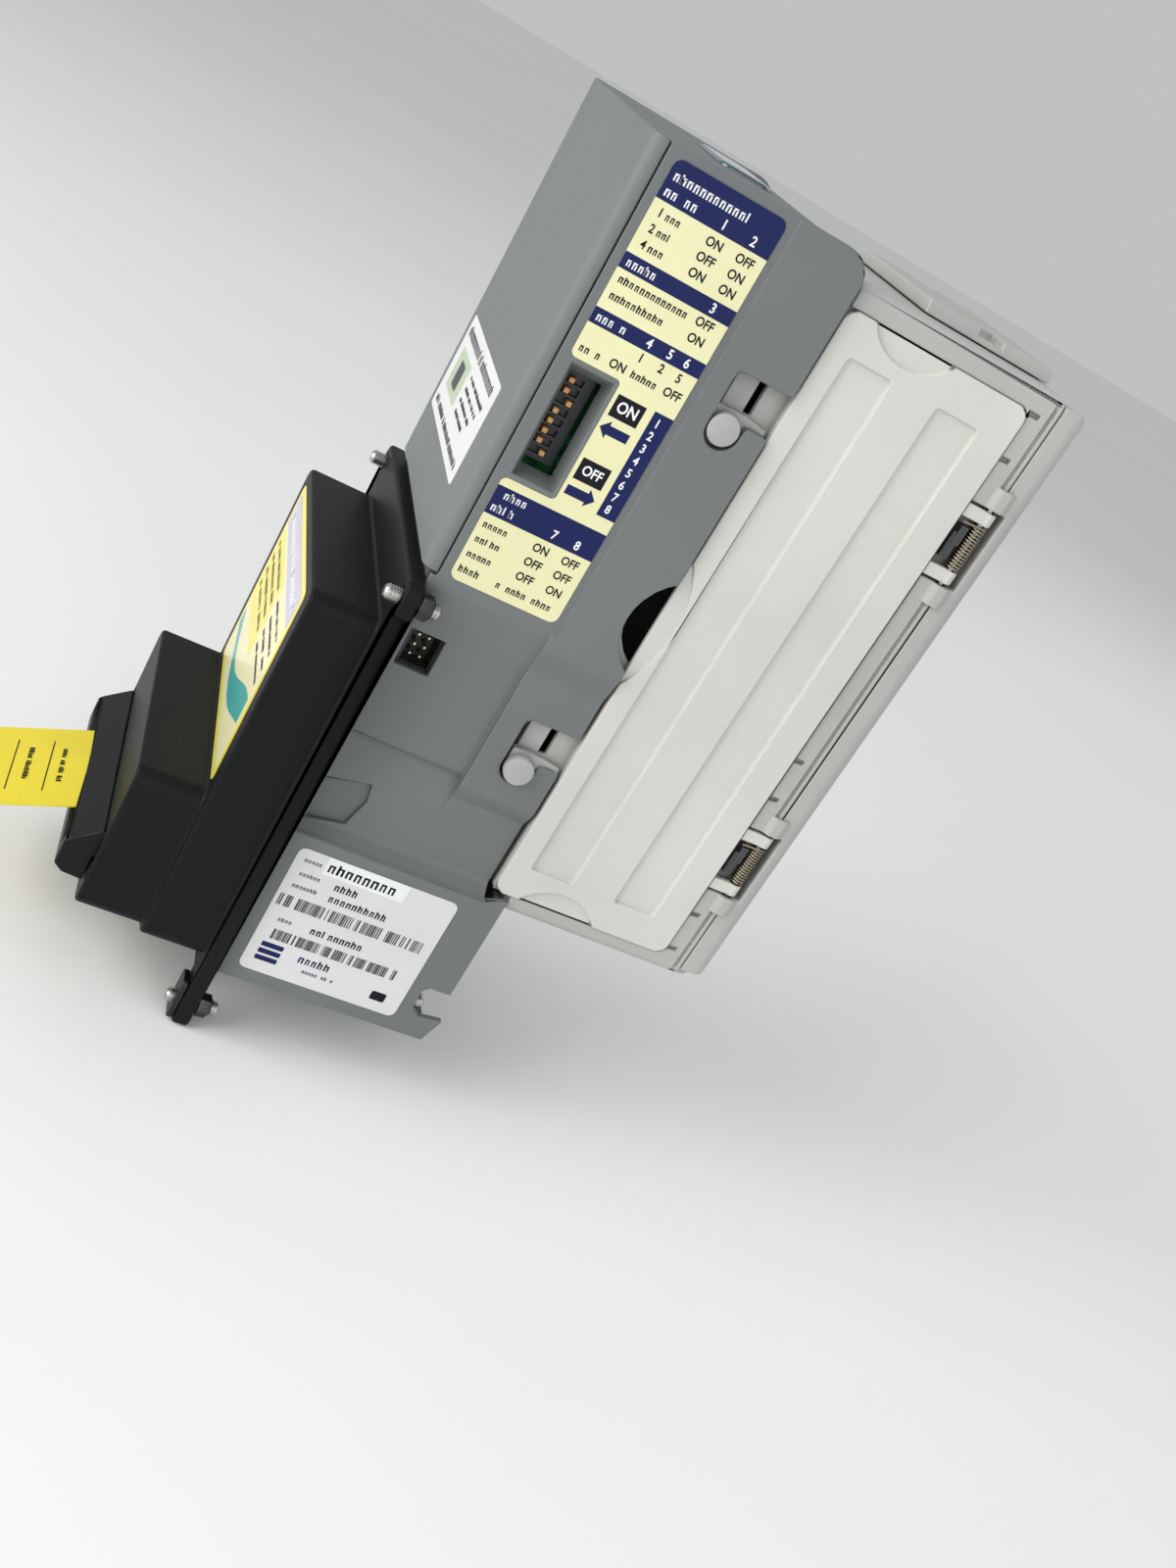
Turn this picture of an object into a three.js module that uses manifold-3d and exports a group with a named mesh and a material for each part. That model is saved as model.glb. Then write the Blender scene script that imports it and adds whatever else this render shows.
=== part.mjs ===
// Bill validator with a removable bill cassette, standing upright as it is installed.
// Millimetres. +Z is up, -Y is the side the customer sees, +X is the side with the switch window.
// The origin is the centre of the housing's flat bottom.
import * as THREE from 'three';
import { mergeVertices } from 'three/addons/utils/BufferGeometryUtils.js';
import Module from 'manifold-3d';

const wasm = await Module();
wasm.setup();

// ---------- driving dimensions ----------
const GAP = 0.3;                // air between pieces that touch
const RUN = 0.5;                // clearance of a piece that slides

const HOUSING = { half: 42, front: -29.7, rear: 29.4, top: 229, wall: 2.2, wingRear: 23.5, wingCorner: 6.5 };
const COVER = { front: -32.5, bottom: 123.5, wall: 2.2, corner: 3 };
const HALF = HOUSING.half;      // the pieces fitted in and around the housing follow its width
const LEVEL = {                 // how far out each level of the labelled side lies
  label: HALF, band: HALF + 0.6, pad: HALF - 1.6, lower: HALF - 4.2,
  connector: HALF - 3.4, channel: HALF - 5.4,
};
const STEP = {                  // heights where the labelled side changes level
  labelFoot: 120.8, connectorTop: 107.5, connectorFoot: 77.4, channelTop: 75, channelFoot: 64.5,
  plateTop: 47.3, lowerFoot: 50.5, bandFoot: 117.2, padTop: 110.3, padFoot: 74.5, padLow: 70,
};
const BAND_Y = 2.5;             // front edge of the stepped band beside the cassette
const RIB_Y = 4.2;              // front edge of the raised band beside the label
const KEYHOLE = {
  y: 13.2, z: 182.3, pitch: 97, r: 4.3, drop: 0.5, rise: 13.2, mouthFoot: 185, mouthTop: 195.5,
};
const STUD = { r: 3.9, proud: 0.8 };
const FINGER = { y: 32, z: 133, r: 15.2 };
const WINDOW = {
  y: [-24.6, -13.8], z: [152, 180], innerY: [-21.9, -14.7], innerZ: [154.2, 176.8], depth: 6.6, wall: 1.4,
};
const SOCKET = { y: [-26.8, -17.9], z: [97.5, 107.4] };
const BASE_PIN = { y: 23.6, z: 9.5, r: 1.5 };
const LENS = { x: [-6, 20], y: [-11, 3] };
const LABEL = { y: [-26, 2.2], z: [123.5, 227], thick: 0.3 };
const RATING = { y: [-25.9, 18.3], z: [4.3, 43.8] };
const NOTE = { x: [-35, 29], z: [139.5, 165.3] };

const SWITCH = { count: 8, pitch: 2.54, travel: 2, topZ: 175.1, offY: -20.7, lever: 1.2, face: HALF - 8.4 };
const SWITCH_ON = [3, 8];       // levers that rest at the ON end
const BOARD = { x: [HALF - 16, HALF - 14.4], y: [-27, -9.5], z: [72, 222], chip: 2.2 };
const OPTIC = { x: [-30, 22], y: [-26.4, -24.9], z: [52, 84] };
const CORE = { x: 23, y: [8.4, 20.6], z: [3, 39], limb: 8 };

const PATH = {
  mouthY: -77.6, mouthZ: 18.2, tilt: THREE.MathUtils.degToRad(22), height: 3.6, half: HALF - 6.5,
};
const STRIP = { half: 20, thick: 0.5, outside: 24, inside: 32 };

const BEZEL = { half: HALF + 1, front: -52, foot: 3, top: 107.3, wall: 2.4, corner: 4 };
const BLOCK = { half: HALF - 1, front: -69.5, foot: 4.2, top: 47 };
const NOSE = { half: HALF - 4, front: -77.6, foot: 10.6, top: 20.8, rearTop: 26 };
const FLANGE = {
  half: HALF + 3, front: -34.7, rear: -30.2, foot: -4, top: 121, corner: 3,
  earX: [HALF - 6, HALF + 7], lugX: [HALF - 5.5, HALF + 3], lugFoot: -18,
};
const MOUNT_STUD = {
  r: 2, front: -38.5, rear: -24.5, head: 3.3, upX: HALF + 3.6, upZ: 116, lowX: HALF - 1, lowZ: -12,
};

const BODY = {
  half: HALF - 1.6, front: 24.6, part: 83.7, rear: 91.8, foot: 45.5, top: 224.3, wall: 2.4, corner: 4.5,
  backStep: 1.2,
};
const TONGUE = { half: HALF - 4.7, front: 11, foot: 76, top: 222, wall: 2 };
const STORE = { near: HALF - 6.5, foot: 48.3, top: 221.5 };
const DOOR = {
  y: [24.4, 76.2], z: [51, 218.2], x: [HALF - 3.4, HALF - 1], corner: 3, sunk: 0.9,
  pinX: HALF - 3.1, pinY: 83.2,
};
const SCOOP = { y: 42.8, half: 11, deep: 5.5, sideHalf: 17.6, sideDeep: 5.4 };
const CLIP = { y: [76.2, 79.4], height: 1.2, z: [217.3, 205.5, 116.3, 104.1, 64.7, 52.7] };
const HINGE = {
  z: [73.8, 173.4], height: 21.2, y: [76.5, 86.8], pinR: 1, knuckleR: 2.1, knuckle: 3.4, springR: 2, gap: 0.7,
};
const GRIP = { half: 28, y: [46, 83], rise: 3.2 };
const PLATE = { half: 33.6, z: [78, 219], thick: 2 };
const COIL = { r: 13, wire: 1.6, z: 148 };

const PUSHER = { half: 27, y: 2, thick: 2, z: [92, 200] };
const GEAR = { module: 1, width: 4.6, slack: 0.28 };
const RACK_X = 17;
const STACKER = { y: -15, z: 140, teeth: 12, motorR: 9.4, motorHalf: 13 };
const BELT = { x: 31, width: 4.6, pulleyR: 5, thick: 1.2, y: -1.5, topZ: 206 };
const ROLLER = { r: 9, pinchR: 6, x: 16, width: 12, axleR: 2.5 };
const TRAIN = {
  teeth: 28, pinion: 12, x: 2.8 - HALF, neckR: 4.5, spindle: 1.2, motorX: [-20, 12], motorBehind: 6,
};
const PINION_REACH = GEAR.module * (TRAIN.teeth + TRAIN.pinion) / 2;
const MOTOR_R = PINION_REACH - ROLLER.r - RUN;      // the transport motor just clears the entry rollers

// ---------- helpers ----------
function solid(geometry) {
  const bare = geometry.index ? geometry.toNonIndexed() : geometry;
  bare.deleteAttribute('normal');
  bare.deleteAttribute('uv');
  const merged = mergeVertices(bare, 1e-4);
  const kept = [];
  for (let i = 0; i < merged.index.count; i += 3) {
    const [a, b, c] = [0, 1, 2].map((k) => merged.index.getX(i + k));
    if (a !== b && b !== c && c !== a) kept.push(a, b, c);
  }
  return new wasm.Manifold(new wasm.Mesh({
    numProp: 3,
    vertProperties: new Float32Array(merged.attributes.position.array),
    triVerts: new Uint32Array(kept),
  }));
}

function box(x, y, z) {
  const block = new THREE.BoxGeometry(x[1] - x[0], y[1] - y[0], z[1] - z[0]);
  return solid(block.translate((x[0] + x[1]) / 2, (y[0] + y[1]) / 2, (z[0] + z[1]) / 2));
}

function outline(points) {
  return new THREE.Shape(points.map(([u, v]) => new THREE.Vector2(u, v)));
}

function roundedRect(u, v, r) {
  const shape = new THREE.Shape();
  shape.moveTo(u[0] + r, v[0]);
  shape.lineTo(u[1] - r, v[0]).absarc(u[1] - r, v[0] + r, r, -Math.PI / 2, 0);
  shape.lineTo(u[1], v[1] - r).absarc(u[1] - r, v[1] - r, r, 0, Math.PI / 2);
  shape.lineTo(u[0] + r, v[1]).absarc(u[0] + r, v[1] - r, r, Math.PI / 2, Math.PI);
  shape.lineTo(u[0], v[0] + r).absarc(u[0] + r, v[0] + r, r, Math.PI, Math.PI * 1.5);
  return shape;
}

function disc(u, v, r, hole = 0) {
  const shape = new THREE.Shape().absarc(u, v, r, 0, Math.PI * 2);
  if (hole) shape.holes.push(new THREE.Path().absarc(u, v, hole, 0, Math.PI * 2, true));
  return shape;
}

const TO_AXIS = {
  x: new THREE.Matrix4().set(0, 0, 1, 0, 1, 0, 0, 0, 0, 1, 0, 0, 0, 0, 0, 1),   // outline in Y, Z
  y: new THREE.Matrix4().set(1, 0, 0, 0, 0, 0, -1, 0, 0, 1, 0, 0, 0, 0, 0, 1),  // outline in X, Z
  z: new THREE.Matrix4(),                                                       // outline in X, Y
};

function extrude(axis, shape, span, curveSegments = 4) {
  const depth = span[1] - span[0];
  const prism = new THREE.ExtrudeGeometry(shape, { depth, bevelEnabled: false, curveSegments });
  prism.applyMatrix4(TO_AXIS[axis]);
  const start = { x: [span[0], 0, 0], y: [0, span[1], 0], z: [0, 0, span[0]] }[axis];
  return solid(prism.translate(...start));
}

// A box whose two X faces differ: [y, z] spans at x0 and at x1.
function taper(x, first, last) {
  const frustum = new THREE.BoxGeometry(1, 1, 1);
  const p = frustum.attributes.position;
  for (let i = 0; i < p.count; i++) {
    const [y, z] = p.getX(i) < 0 ? first : last;
    p.setXYZ(i, p.getX(i) < 0 ? x[0] : x[1], p.getY(i) < 0 ? y[0] : y[1], p.getZ(i) < 0 ? z[0] : z[1]);
  }
  return solid(frustum);
}

const join = (...parts) => parts.reduce((sum, part) => sum.add(part));
const cut = (stock, ...tools) => tools.reduce((left, tool) => left.subtract(tool), stock);
const bothSides = (make) => join(make(1), make(-1));
const side = (sign, low, high) => (sign > 0 ? [low, high] : [-high, -low]);

// Outline of a spur gear with straight-sided teeth and one tooth centred on the angle `turn`.
function gearOutline(u, v, teeth, turn, bore = 0) {
  const { module: m, slack } = GEAR;
  const root = m * (teeth / 2 - 1.25);
  const tip = m * (teeth / 2 + 0.9);
  const half = Math.PI / 2 / teeth;
  const points = [];
  for (let i = 0; i < teeth; i++) {
    const mid = turn + i * 4 * half;
    const profile = [[-1.3 * half, root], [-(0.5 - slack / 2) * half, tip], [(0.5 - slack / 2) * half, tip],
      [1.3 * half, root]];
    for (const [turned, r] of profile) {
      points.push([u + r * Math.cos(mid + turned), v + r * Math.sin(mid + turned)]);
    }
  }
  const shape = outline(points);
  if (bore) shape.holes.push(new THREE.Path().absarc(u, v, bore, 0, Math.PI * 2, true));
  return shape;
}

const group = new THREE.Group();

const FINISH = {
  housing: { color: 0x85898c, roughness: 0.55 },
  black: { color: 0x1d2022, roughness: 0.45 },
  cassette: { color: 0xc6c7c3, roughness: 0.5 },
  door: { color: 0xe3e1db, roughness: 0.5 },
  steel: { color: 0xb9bcbe, roughness: 0.3, metalness: 1 },
  label: { color: 0x2a3470, roughness: 0.4 },
  paper: { color: 0xe9eaea, roughness: 0.5 },
  decal: { color: 0xc9bd5a, roughness: 0.35 },
  strip: { color: 0xf1e01a, roughness: 0.35 },
  board: { color: 0x1f6b3a, roughness: 0.5 },
  rubber: { color: 0x2b2b2b, roughness: 0.8 },
  gear: { color: 0xd8d4c4, roughness: 0.5 },
  copper: { color: 0x8a5a33, roughness: 0.45, metalness: 0.6 },
  lens: { color: 0x17404a, roughness: 0.1 },
  dark: { color: 0x333a40, roughness: 0.6 },
};

function add(name, finish, part) {
  const found = part.getMesh();
  const geometry = new THREE.BufferGeometry();
  geometry.setAttribute('position', new THREE.BufferAttribute(new Float32Array(found.vertProperties), 3));
  geometry.setIndex(new THREE.BufferAttribute(new Uint32Array(found.triVerts), 1));
  const mesh = new THREE.Mesh(geometry, new THREE.MeshStandardMaterial({ metalness: 0, ...FINISH[finish] }));
  mesh.name = name;
  group.add(mesh);
  return mesh;
}

// ---------- the bill path ----------
// Height of the bill's middle plane at a place along the entry.
const pathZ = (y) => PATH.mouthZ + (y - PATH.mouthY) * Math.tan(PATH.tilt);

// A slab that follows the tilted path, `low` to `high` measured square to it.
function slab(half, y, low, high) {
  const rise = 1 / Math.cos(PATH.tilt);
  return extrude('x', outline([
    [y[0], pathZ(y[0]) + low * rise], [y[1], pathZ(y[1]) + low * rise],
    [y[1], pathZ(y[1]) + high * rise], [y[0], pathZ(y[0]) + high * rise],
  ]), [-half, half]);
}

// ---------- housing ----------
// The channel that a cassette stud drops into: down a slot, out through the wing's rear edge.
function keyhole(x, z) {
  const { y, r, rise, drop } = KEYHOLE;
  const lift = z - KEYHOLE.z;
  const slot = extrude('x', disc(y, z - drop, r), x, 12);
  const shaft = box(x, [y - r, y + r], [z - drop, z + rise]);
  const mouth = box(x, [y, HOUSING.wingRear + 1], [KEYHOLE.mouthFoot + lift, KEYHOLE.mouthTop + lift]);
  return join(slot, shaft, mouth);
}

const lowStudZ = KEYHOLE.z - KEYHOLE.pitch;

function wingOutline(foot, front) {
  const { wingRear, top, wingCorner: corner } = HOUSING;
  const shape = new THREE.Shape();
  shape.moveTo(front, foot);
  shape.lineTo(wingRear, foot);
  shape.lineTo(wingRear, top - corner);
  shape.absarc(wingRear - corner, top - corner, corner, 0, Math.PI / 2);
  shape.lineTo(front, top);
  return shape;
}

// Bottom plate's outline, with the hooked notch that the base pin crosses.
function footOutline() {
  const { front, rear } = HOUSING;
  const { y, z } = BASE_PIN;
  return outline([[front, 0], [rear - 0.6, 0], [rear + 2, z - 1.9], [y + 1, z - 2.6], [y - 1.6, z - 0.5],
    [y - 1.6, z + 5.7], [y - 0.2, z + 7], [rear, z + 7], [rear, STEP.plateTop + 2.1],
    [HOUSING.wingRear + 0.5, STEP.plateTop], [front, STEP.plateTop]]);
}

function sideRibbon(outer, y) {
  const inner = outer.map(([x, z]) => [x - HOUSING.wall, z]).reverse();
  return extrude('y', outline([...outer, ...inner].reverse()), y);
}

function nearWall() {
  const { half, front, wall, wingRear } = HOUSING;
  const connectorSide = [[LEVEL.label, STEP.labelFoot + 2], [LEVEL.label, STEP.labelFoot],
    [LEVEL.connector, STEP.connectorTop], [LEVEL.connector, STEP.connectorFoot],
    [LEVEL.channel, STEP.channelTop], [LEVEL.lower, STEP.channelFoot],
    [LEVEL.lower, STEP.lowerFoot], [LEVEL.label, STEP.plateTop - 0.6]];
  const padSide = [[LEVEL.band, STEP.labelFoot + 1], [LEVEL.band, STEP.bandFoot], [LEVEL.pad, STEP.padTop],
    [LEVEL.pad, STEP.padFoot], [LEVEL.lower, STEP.padLow], [LEVEL.lower, STEP.lowerFoot],
    [LEVEL.label, STEP.plateTop - 0.6]];
  const riser = extrude('y', outline([...padSide, [LEVEL.connector - wall, STEP.plateTop - 0.6],
    [LEVEL.channel - wall, STEP.lowerFoot], [LEVEL.channel - wall, STEP.channelTop],
    [LEVEL.connector - wall, STEP.labelFoot + 1]].reverse()), [BAND_Y, BAND_Y + wall]);
  const { y, z, innerY, innerZ, depth, wall: funnelWall } = WINDOW;
  const wider = (span, by) => [span[0] - by, span[1] + by];
  const funnel = taper([half - depth, half - 1], [wider(innerY, funnelWall), wider(innerZ, funnelWall)],
    [wider(y, funnelWall), wider(z, funnelWall)]);
  const pocket = [[front - 1, 49.5], [-17.8, 51.5], [-15.6, 59.6], [-16.5, 64.6], [front - 1, 61.5]];
  return cut(
    join(
      extrude('x', wingOutline(STEP.labelFoot, front + 1.4), [half - wall, half], 6),
      extrude('x', wingOutline(STEP.labelFoot, RIB_Y), [half - wall, LEVEL.band], 6),
      extrude('x', footOutline(), [half - wall, half]),
      sideRibbon(connectorSide, [front, BAND_Y + wall]),
      sideRibbon(padSide, [BAND_Y, wingRear]),
      riser,
      funnel,
    ),
    keyhole([half - 8, half + 2], KEYHOLE.z),
    keyhole([half - 8, half + 2], lowStudZ),
    extrude('x', disc(FINGER.y, FINGER.z, FINGER.r), [half - 8, half + 2], 16),
    taper([half - depth - 1, half + 0.01], [innerY, innerZ], [y, z]),
    box([half - 9, half + 1], SOCKET.y, SOCKET.z),
    extrude('x', outline(pocket), [LEVEL.lower - 1.4, LEVEL.lower + 2]),
  );
}

function farWall() {
  const { half, front, wall } = HOUSING;
  return cut(
    join(
      extrude('x', wingOutline(STEP.plateTop - 1, front), [-half, -half + wall], 6),
      extrude('x', footOutline(), [-half, -half + wall]),
    ),
    box([-half - 1, -half + 4], [front - 1, front + 1.4], [COVER.bottom - GAP, HOUSING.top + 1]),
    keyhole([-half - 2, -half + 4], KEYHOLE.z),
    keyhole([-half - 2, -half + 4], lowStudZ),
    extrude('x', disc(FINGER.y, FINGER.z, FINGER.r), [-half - 2, -half + 4], 16),
  );
}

function housing() {
  const { half, front, rear, top, wall } = HOUSING;
  const chuteHole = slab(PATH.half + 3.4, [front - 1, front + wall + 1], -4.6, 4.6);
  return cut(
    join(
      nearWall(),
      farWall(),
      box([-half, half], [front, rear - 0.6], [0, wall]),
      box([-half, LEVEL.connector - 1], [front, front + wall], [0, COVER.bottom - GAP]),
      box([-half, half], [rear - wall, rear], [18, STEP.plateTop]),
      box([-half, half], [front + 1.4, 9], [top - wall, top]),
    ),
    chuteHole,
    box(LENS.x, LENS.y, [top - wall - 1, top + 1]),
    ...[-1, 1].map((sign) => box(side(sign, 12, 30), [8, 22], [-1, wall + 1])),
  );
}

function frontCover() {
  const { half, top } = HOUSING;
  const { front, bottom, wall, corner } = COVER;
  const back = HOUSING.front + 1.4 - GAP;
  const shell = extrude('z', roundedRect([-half, half], [front, back + corner], corner), [bottom, top]);
  const hollow = box([-half + wall, half - wall], [front + wall, back + corner + 1],
    [bottom - 1, top - wall]);
  const behind = box([-half - 1, half + 1], [back, back + corner + 1], [bottom - 1, top + 1]);
  return cut(shell, hollow, behind);
}

function basePin() {
  const { y, z, r } = BASE_PIN;
  const reach = HOUSING.half - HOUSING.wall - GAP;
  return extrude('x', disc(y, z, r), [-reach, reach], 8);
}

// ---------- bezel ----------
function bezel() {
  const { half, front, foot, top, wall, corner } = BEZEL;
  const ring = (edge, shrink) => roundedRect([-edge.half + shrink, edge.half - shrink],
    [edge.foot + shrink, edge.top - shrink], corner - shrink / 2);
  const plate = join(
    extrude('y', roundedRect([-FLANGE.half, FLANGE.half], [FLANGE.foot, FLANGE.top], FLANGE.corner),
      [FLANGE.front, FLANGE.rear]),
    bothSides((s) => extrude('y', roundedRect(side(s, ...FLANGE.earX), [FLANGE.top - 10, FLANGE.top], 3),
      [FLANGE.front, FLANGE.rear])),
    bothSides((s) => extrude('y', roundedRect(side(s, ...FLANGE.lugX), [FLANGE.lugFoot, FLANGE.foot + 8], 2),
      [FLANGE.front, FLANGE.rear])),
  );
  const holes = [-1, 1].flatMap((s) => [
    extrude('y', disc(s * MOUNT_STUD.upX, MOUNT_STUD.upZ, MOUNT_STUD.r + GAP), [-36, -28]),
    extrude('y', disc(s * MOUNT_STUD.lowX, MOUNT_STUD.lowZ, MOUNT_STUD.r + GAP), [-36, -28])]);
  const edge = { half, foot, top };
  return cut(
    join(
      extrude('y', ring(edge, 0), [front, FLANGE.rear]),
      extrude('y', ring(BLOCK, 0), [BLOCK.front, front + 1]),
      plate,
    ),
    extrude('y', ring(edge, wall), [front + wall, FLANGE.rear + 1]),
    extrude('y', ring(BLOCK, wall), [BLOCK.front + wall, front + wall + 1]),
    slab(NOSE.half + 1, [BLOCK.front - 1, BLOCK.front + wall + 1], -4.4, 4.4),
    ...holes,
  );
}

function entryNose() {
  const { half, front, foot, top, rearTop } = NOSE;
  const back = BLOCK.front - GAP;
  const profile = outline([[back, foot - 0.4], [front + 2.4, foot], [front, foot + 1.8], [front, top - 1.2],
    [front + 1.2, top], [back, rearTop]]);
  const chuteEnd = HOUSING.front + 3;
  return cut(
    join(
      extrude('x', profile, [-half, half]),
      slab(half, [back - 1, chuteEnd], -3.6, 3.6),
    ),
    slab(PATH.half, [front - 4, chuteEnd + 4], -PATH.height / 2, PATH.height / 2),
  );
}

// A threaded stud that stands out of the flange, with its hexagonal head behind.
function mountStud(x, z) {
  const { r, front, rear, head } = MOUNT_STUD;
  return join(extrude('y', disc(x, z, r), [front, rear]),
    extrude('y', disc(x, z, head), [FLANGE.rear + GAP, FLANGE.rear + head + GAP], 3));
}

function lugPlate(s) {
  const { r, lowX, lowZ } = MOUNT_STUD;
  const face = roundedRect(side(s, lowX - 3.5, lowX + 3.5), [lowZ - 5, lowZ + 7.4], 1.5);
  return cut(
    extrude('y', face, [FLANGE.front - 1.8, FLANGE.front - GAP]),
    extrude('y', disc(s * lowX, lowZ, r + GAP), [FLANGE.front - 3, FLANGE.front]),
  );
}

// ---------- labels ----------
const sheet = (y, z, r = 2) => extrude('x', roundedRect(y, z, r),
  [LEVEL.label + GAP, LEVEL.label + GAP + LABEL.thick]);

function switchLabel() {
  const { y, z } = WINDOW;
  const margin = 0.4;
  const window = box([LEVEL.label - 1, LEVEL.label + 2], [LABEL.y[0] - 1, y[1] + margin],
    [z[0] - margin, z[1] + margin]);
  return cut(sheet(LABEL.y, LABEL.z), window);
}

const faceSheet = (x, z, y) => extrude('y', roundedRect(x, z, 1.5), [y - GAP - LABEL.thick, y - GAP]);

// ---------- electronics ----------
function switchBody() {
  const { count, pitch, travel, topZ, offY, lever, face } = SWITCH;
  const middle = offY + travel / 2;
  const bottomZ = topZ - (count - 1) * pitch;
  const room = lever / 2 + GAP;
  const slots = Array.from({ length: count }, (_, i) => box([face - 1.4, face + 1],
    [offY - 1.1, offY + travel + 1.1], [topZ - i * pitch - room, topZ - i * pitch + room]));
  const block = box([BOARD.x[1] + GAP, face], [middle - 4.6, middle + 4.6], [bottomZ - 2.2, topZ + 2.2]);
  return cut(block, ...slots);
}

function switchLever(number) {
  const { pitch, travel, topZ, offY, lever, face } = SWITCH;
  const y = offY + (SWITCH_ON.includes(number) ? travel : 0);
  const z = topZ - (number - 1) * pitch;
  return box([face - 1.1, face + 1.2], [y - 0.7, y + 0.7], [z - lever / 2, z + lever / 2]);
}

function harnessSocket() {
  const { y, z } = SOCKET;
  const back = BOARD.x[1] + GAP;
  const mouth = LEVEL.connector - HOUSING.wall - GAP;
  const shell = cut(box([back, mouth], [y[0] + 0.3, y[1] + 1], [z[0] - 1, z[1] + 1]),
    box([back + 2, mouth + 1], [y[0] + 1.3, y[1] - 0.4], [z[0] + 0.4, z[1] - 0.4]));
  const pins = [0, 1].flatMap((row) => [0, 1, 2].map((i) => {
    const py = y[0] + 3.4 + row * 2.6;
    const pz = z[0] + 2.2 + i * 2.7;
    return box([back + 1, back + 4.4], [py - 0.35, py + 0.35], [pz - 0.35, pz + 0.35]);
  }));
  return join(shell, ...pins);
}

function mainBoard() {
  const { x, y, z } = BOARD;
  const chip = (width, foot, height) => box([x[0] - BOARD.chip, x[0] + 0.5], [y[0] + 2, y[0] + 2 + width],
    [z[0] + foot, z[0] + foot + height]);
  return join(box(x, y, z), chip(12, 12, 12), chip(12, 40, 14), chip(10, 124, 8));
}

function opticBoard() {
  return box(OPTIC.x, OPTIC.y, OPTIC.z);
}

function transformer() {
  const { x, y, z, limb } = CORE;
  const windows = bothSides((s) => box(side(s, limb - 1, x - limb), [y[0] - 1, y[1] + 1],
    [z[0] + limb - 1, z[1] - limb + 1]));
  return cut(box([-x, x], y, z), windows);
}

function transformerCoil() {
  const { x, y, z, limb } = CORE;
  const slack = 0.5;
  const bulge = 1.2;
  return cut(
    box([-x + limb + slack, x - limb - slack], [y[0] - bulge, y[1] + bulge],
      [z[0] + limb - 1 + slack, z[1] - limb + 1 - slack]),
    box([-limb + 1 - slack, limb - 1 + slack], [y[0] - GAP, y[1] + GAP], [z[0], z[1]]),
  );
}

// ---------- transport ----------
const nip = { y: -14, z: pathZ(-14) };
const across = { y: Math.sin(PATH.tilt), z: -Math.cos(PATH.tilt) };
const fromNip = (reach) => ({ y: nip.y + across.y * reach, z: nip.z + across.z * reach });
const entryAxis = fromNip(ROLLER.r + RUN);
const pinchAxis = fromNip(-ROLLER.pinchR - RUN);
const centres = GEAR.module * TRAIN.teeth;
const beltAxis = { y: BELT.y, z: entryAxis.z + Math.sqrt(centres ** 2 - (BELT.y - entryAxis.y) ** 2) };
const motorAxis = {
  y: entryAxis.y + TRAIN.motorBehind,
  z: entryAxis.z - Math.sqrt(PINION_REACH ** 2 - TRAIN.motorBehind ** 2),
};
const angleTo = (from, to) => Math.atan2(to.z - from.z, to.y - from.y);
const toBelt = angleTo(entryAxis, beltAxis);
const toMotor = angleTo(entryAxis, motorAxis);
const gearSpan = [TRAIN.x, TRAIN.x + GEAR.width];

function shaft(axis, span, r = ROLLER.axleR) {
  return extrude('x', disc(axis.y, axis.z, r), span, 4);
}

// Rollers beneath the bill, with the gear that the belt shaft and the motor mesh with.
function entryRoller() {
  return join(shaft(entryAxis, [TRAIN.x, 34]),
    extrude('x', gearOutline(entryAxis.y, entryAxis.z, TRAIN.teeth, toBelt), gearSpan),
    ...[-1, 1].map((s) => extrude('x', disc(entryAxis.y, entryAxis.z, ROLLER.r),
      side(s, ROLLER.x - ROLLER.width / 2, ROLLER.x + ROLLER.width / 2), 6)));
}

function beltShaft(axis, geared) {
  const pulleys = bothSides((s) => extrude('x', disc(axis.y, axis.z, BELT.pulleyR - 0.05),
    side(s, BELT.x - BELT.width / 2 - 0.4, BELT.x + BELT.width / 2 + 0.4), 5));
  const core = shaft(axis, [TRAIN.x, 34]);
  if (!geared) return join(core, pulleys);
  const turn = toBelt + Math.PI + Math.PI / TRAIN.teeth;
  return join(core, pulleys, extrude('x', gearOutline(axis.y, axis.z, TRAIN.teeth, turn), gearSpan));
}

function feedBelt(sign) {
  const { x, width, pulleyR, thick, y, topZ } = BELT;
  const loop = (r) => {
    const shape = new THREE.Shape();
    shape.absarc(y, topZ, r, 0, Math.PI);
    shape.absarc(y, beltAxis.z, r, Math.PI, Math.PI * 2);
    return shape;
  };
  const inner = pulleyR + 0.1;
  return cut(extrude('x', loop(inner + thick), side(sign, x - width / 2, x + width / 2), 8),
    extrude('x', loop(inner), [-40, 40], 8));
}

function pinchRoller() {
  return join(shaft(pinchAxis, [-24, 24], 1.5),
    ...[-1, 1].map((s) => extrude('x', disc(pinchAxis.y, pinchAxis.z, ROLLER.pinchR),
      side(s, ROLLER.x - ROLLER.width / 2, ROLLER.x + ROLLER.width / 2), 6)));
}

function motorPinion() {
  const tooth = Math.PI * 2 / TRAIN.teeth;
  const step = Math.PI * 2 / TRAIN.pinion;
  const away = ((toMotor - toBelt) % tooth + tooth) % tooth;
  const turn = toMotor + Math.PI + step / 2 + away * TRAIN.teeth / TRAIN.pinion;
  return join(shaft(motorAxis, [TRAIN.x, TRAIN.motorX[0] + 3], TRAIN.spindle),
    extrude('x', gearOutline(motorAxis.y, motorAxis.z, TRAIN.pinion, turn), gearSpan));
}

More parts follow.
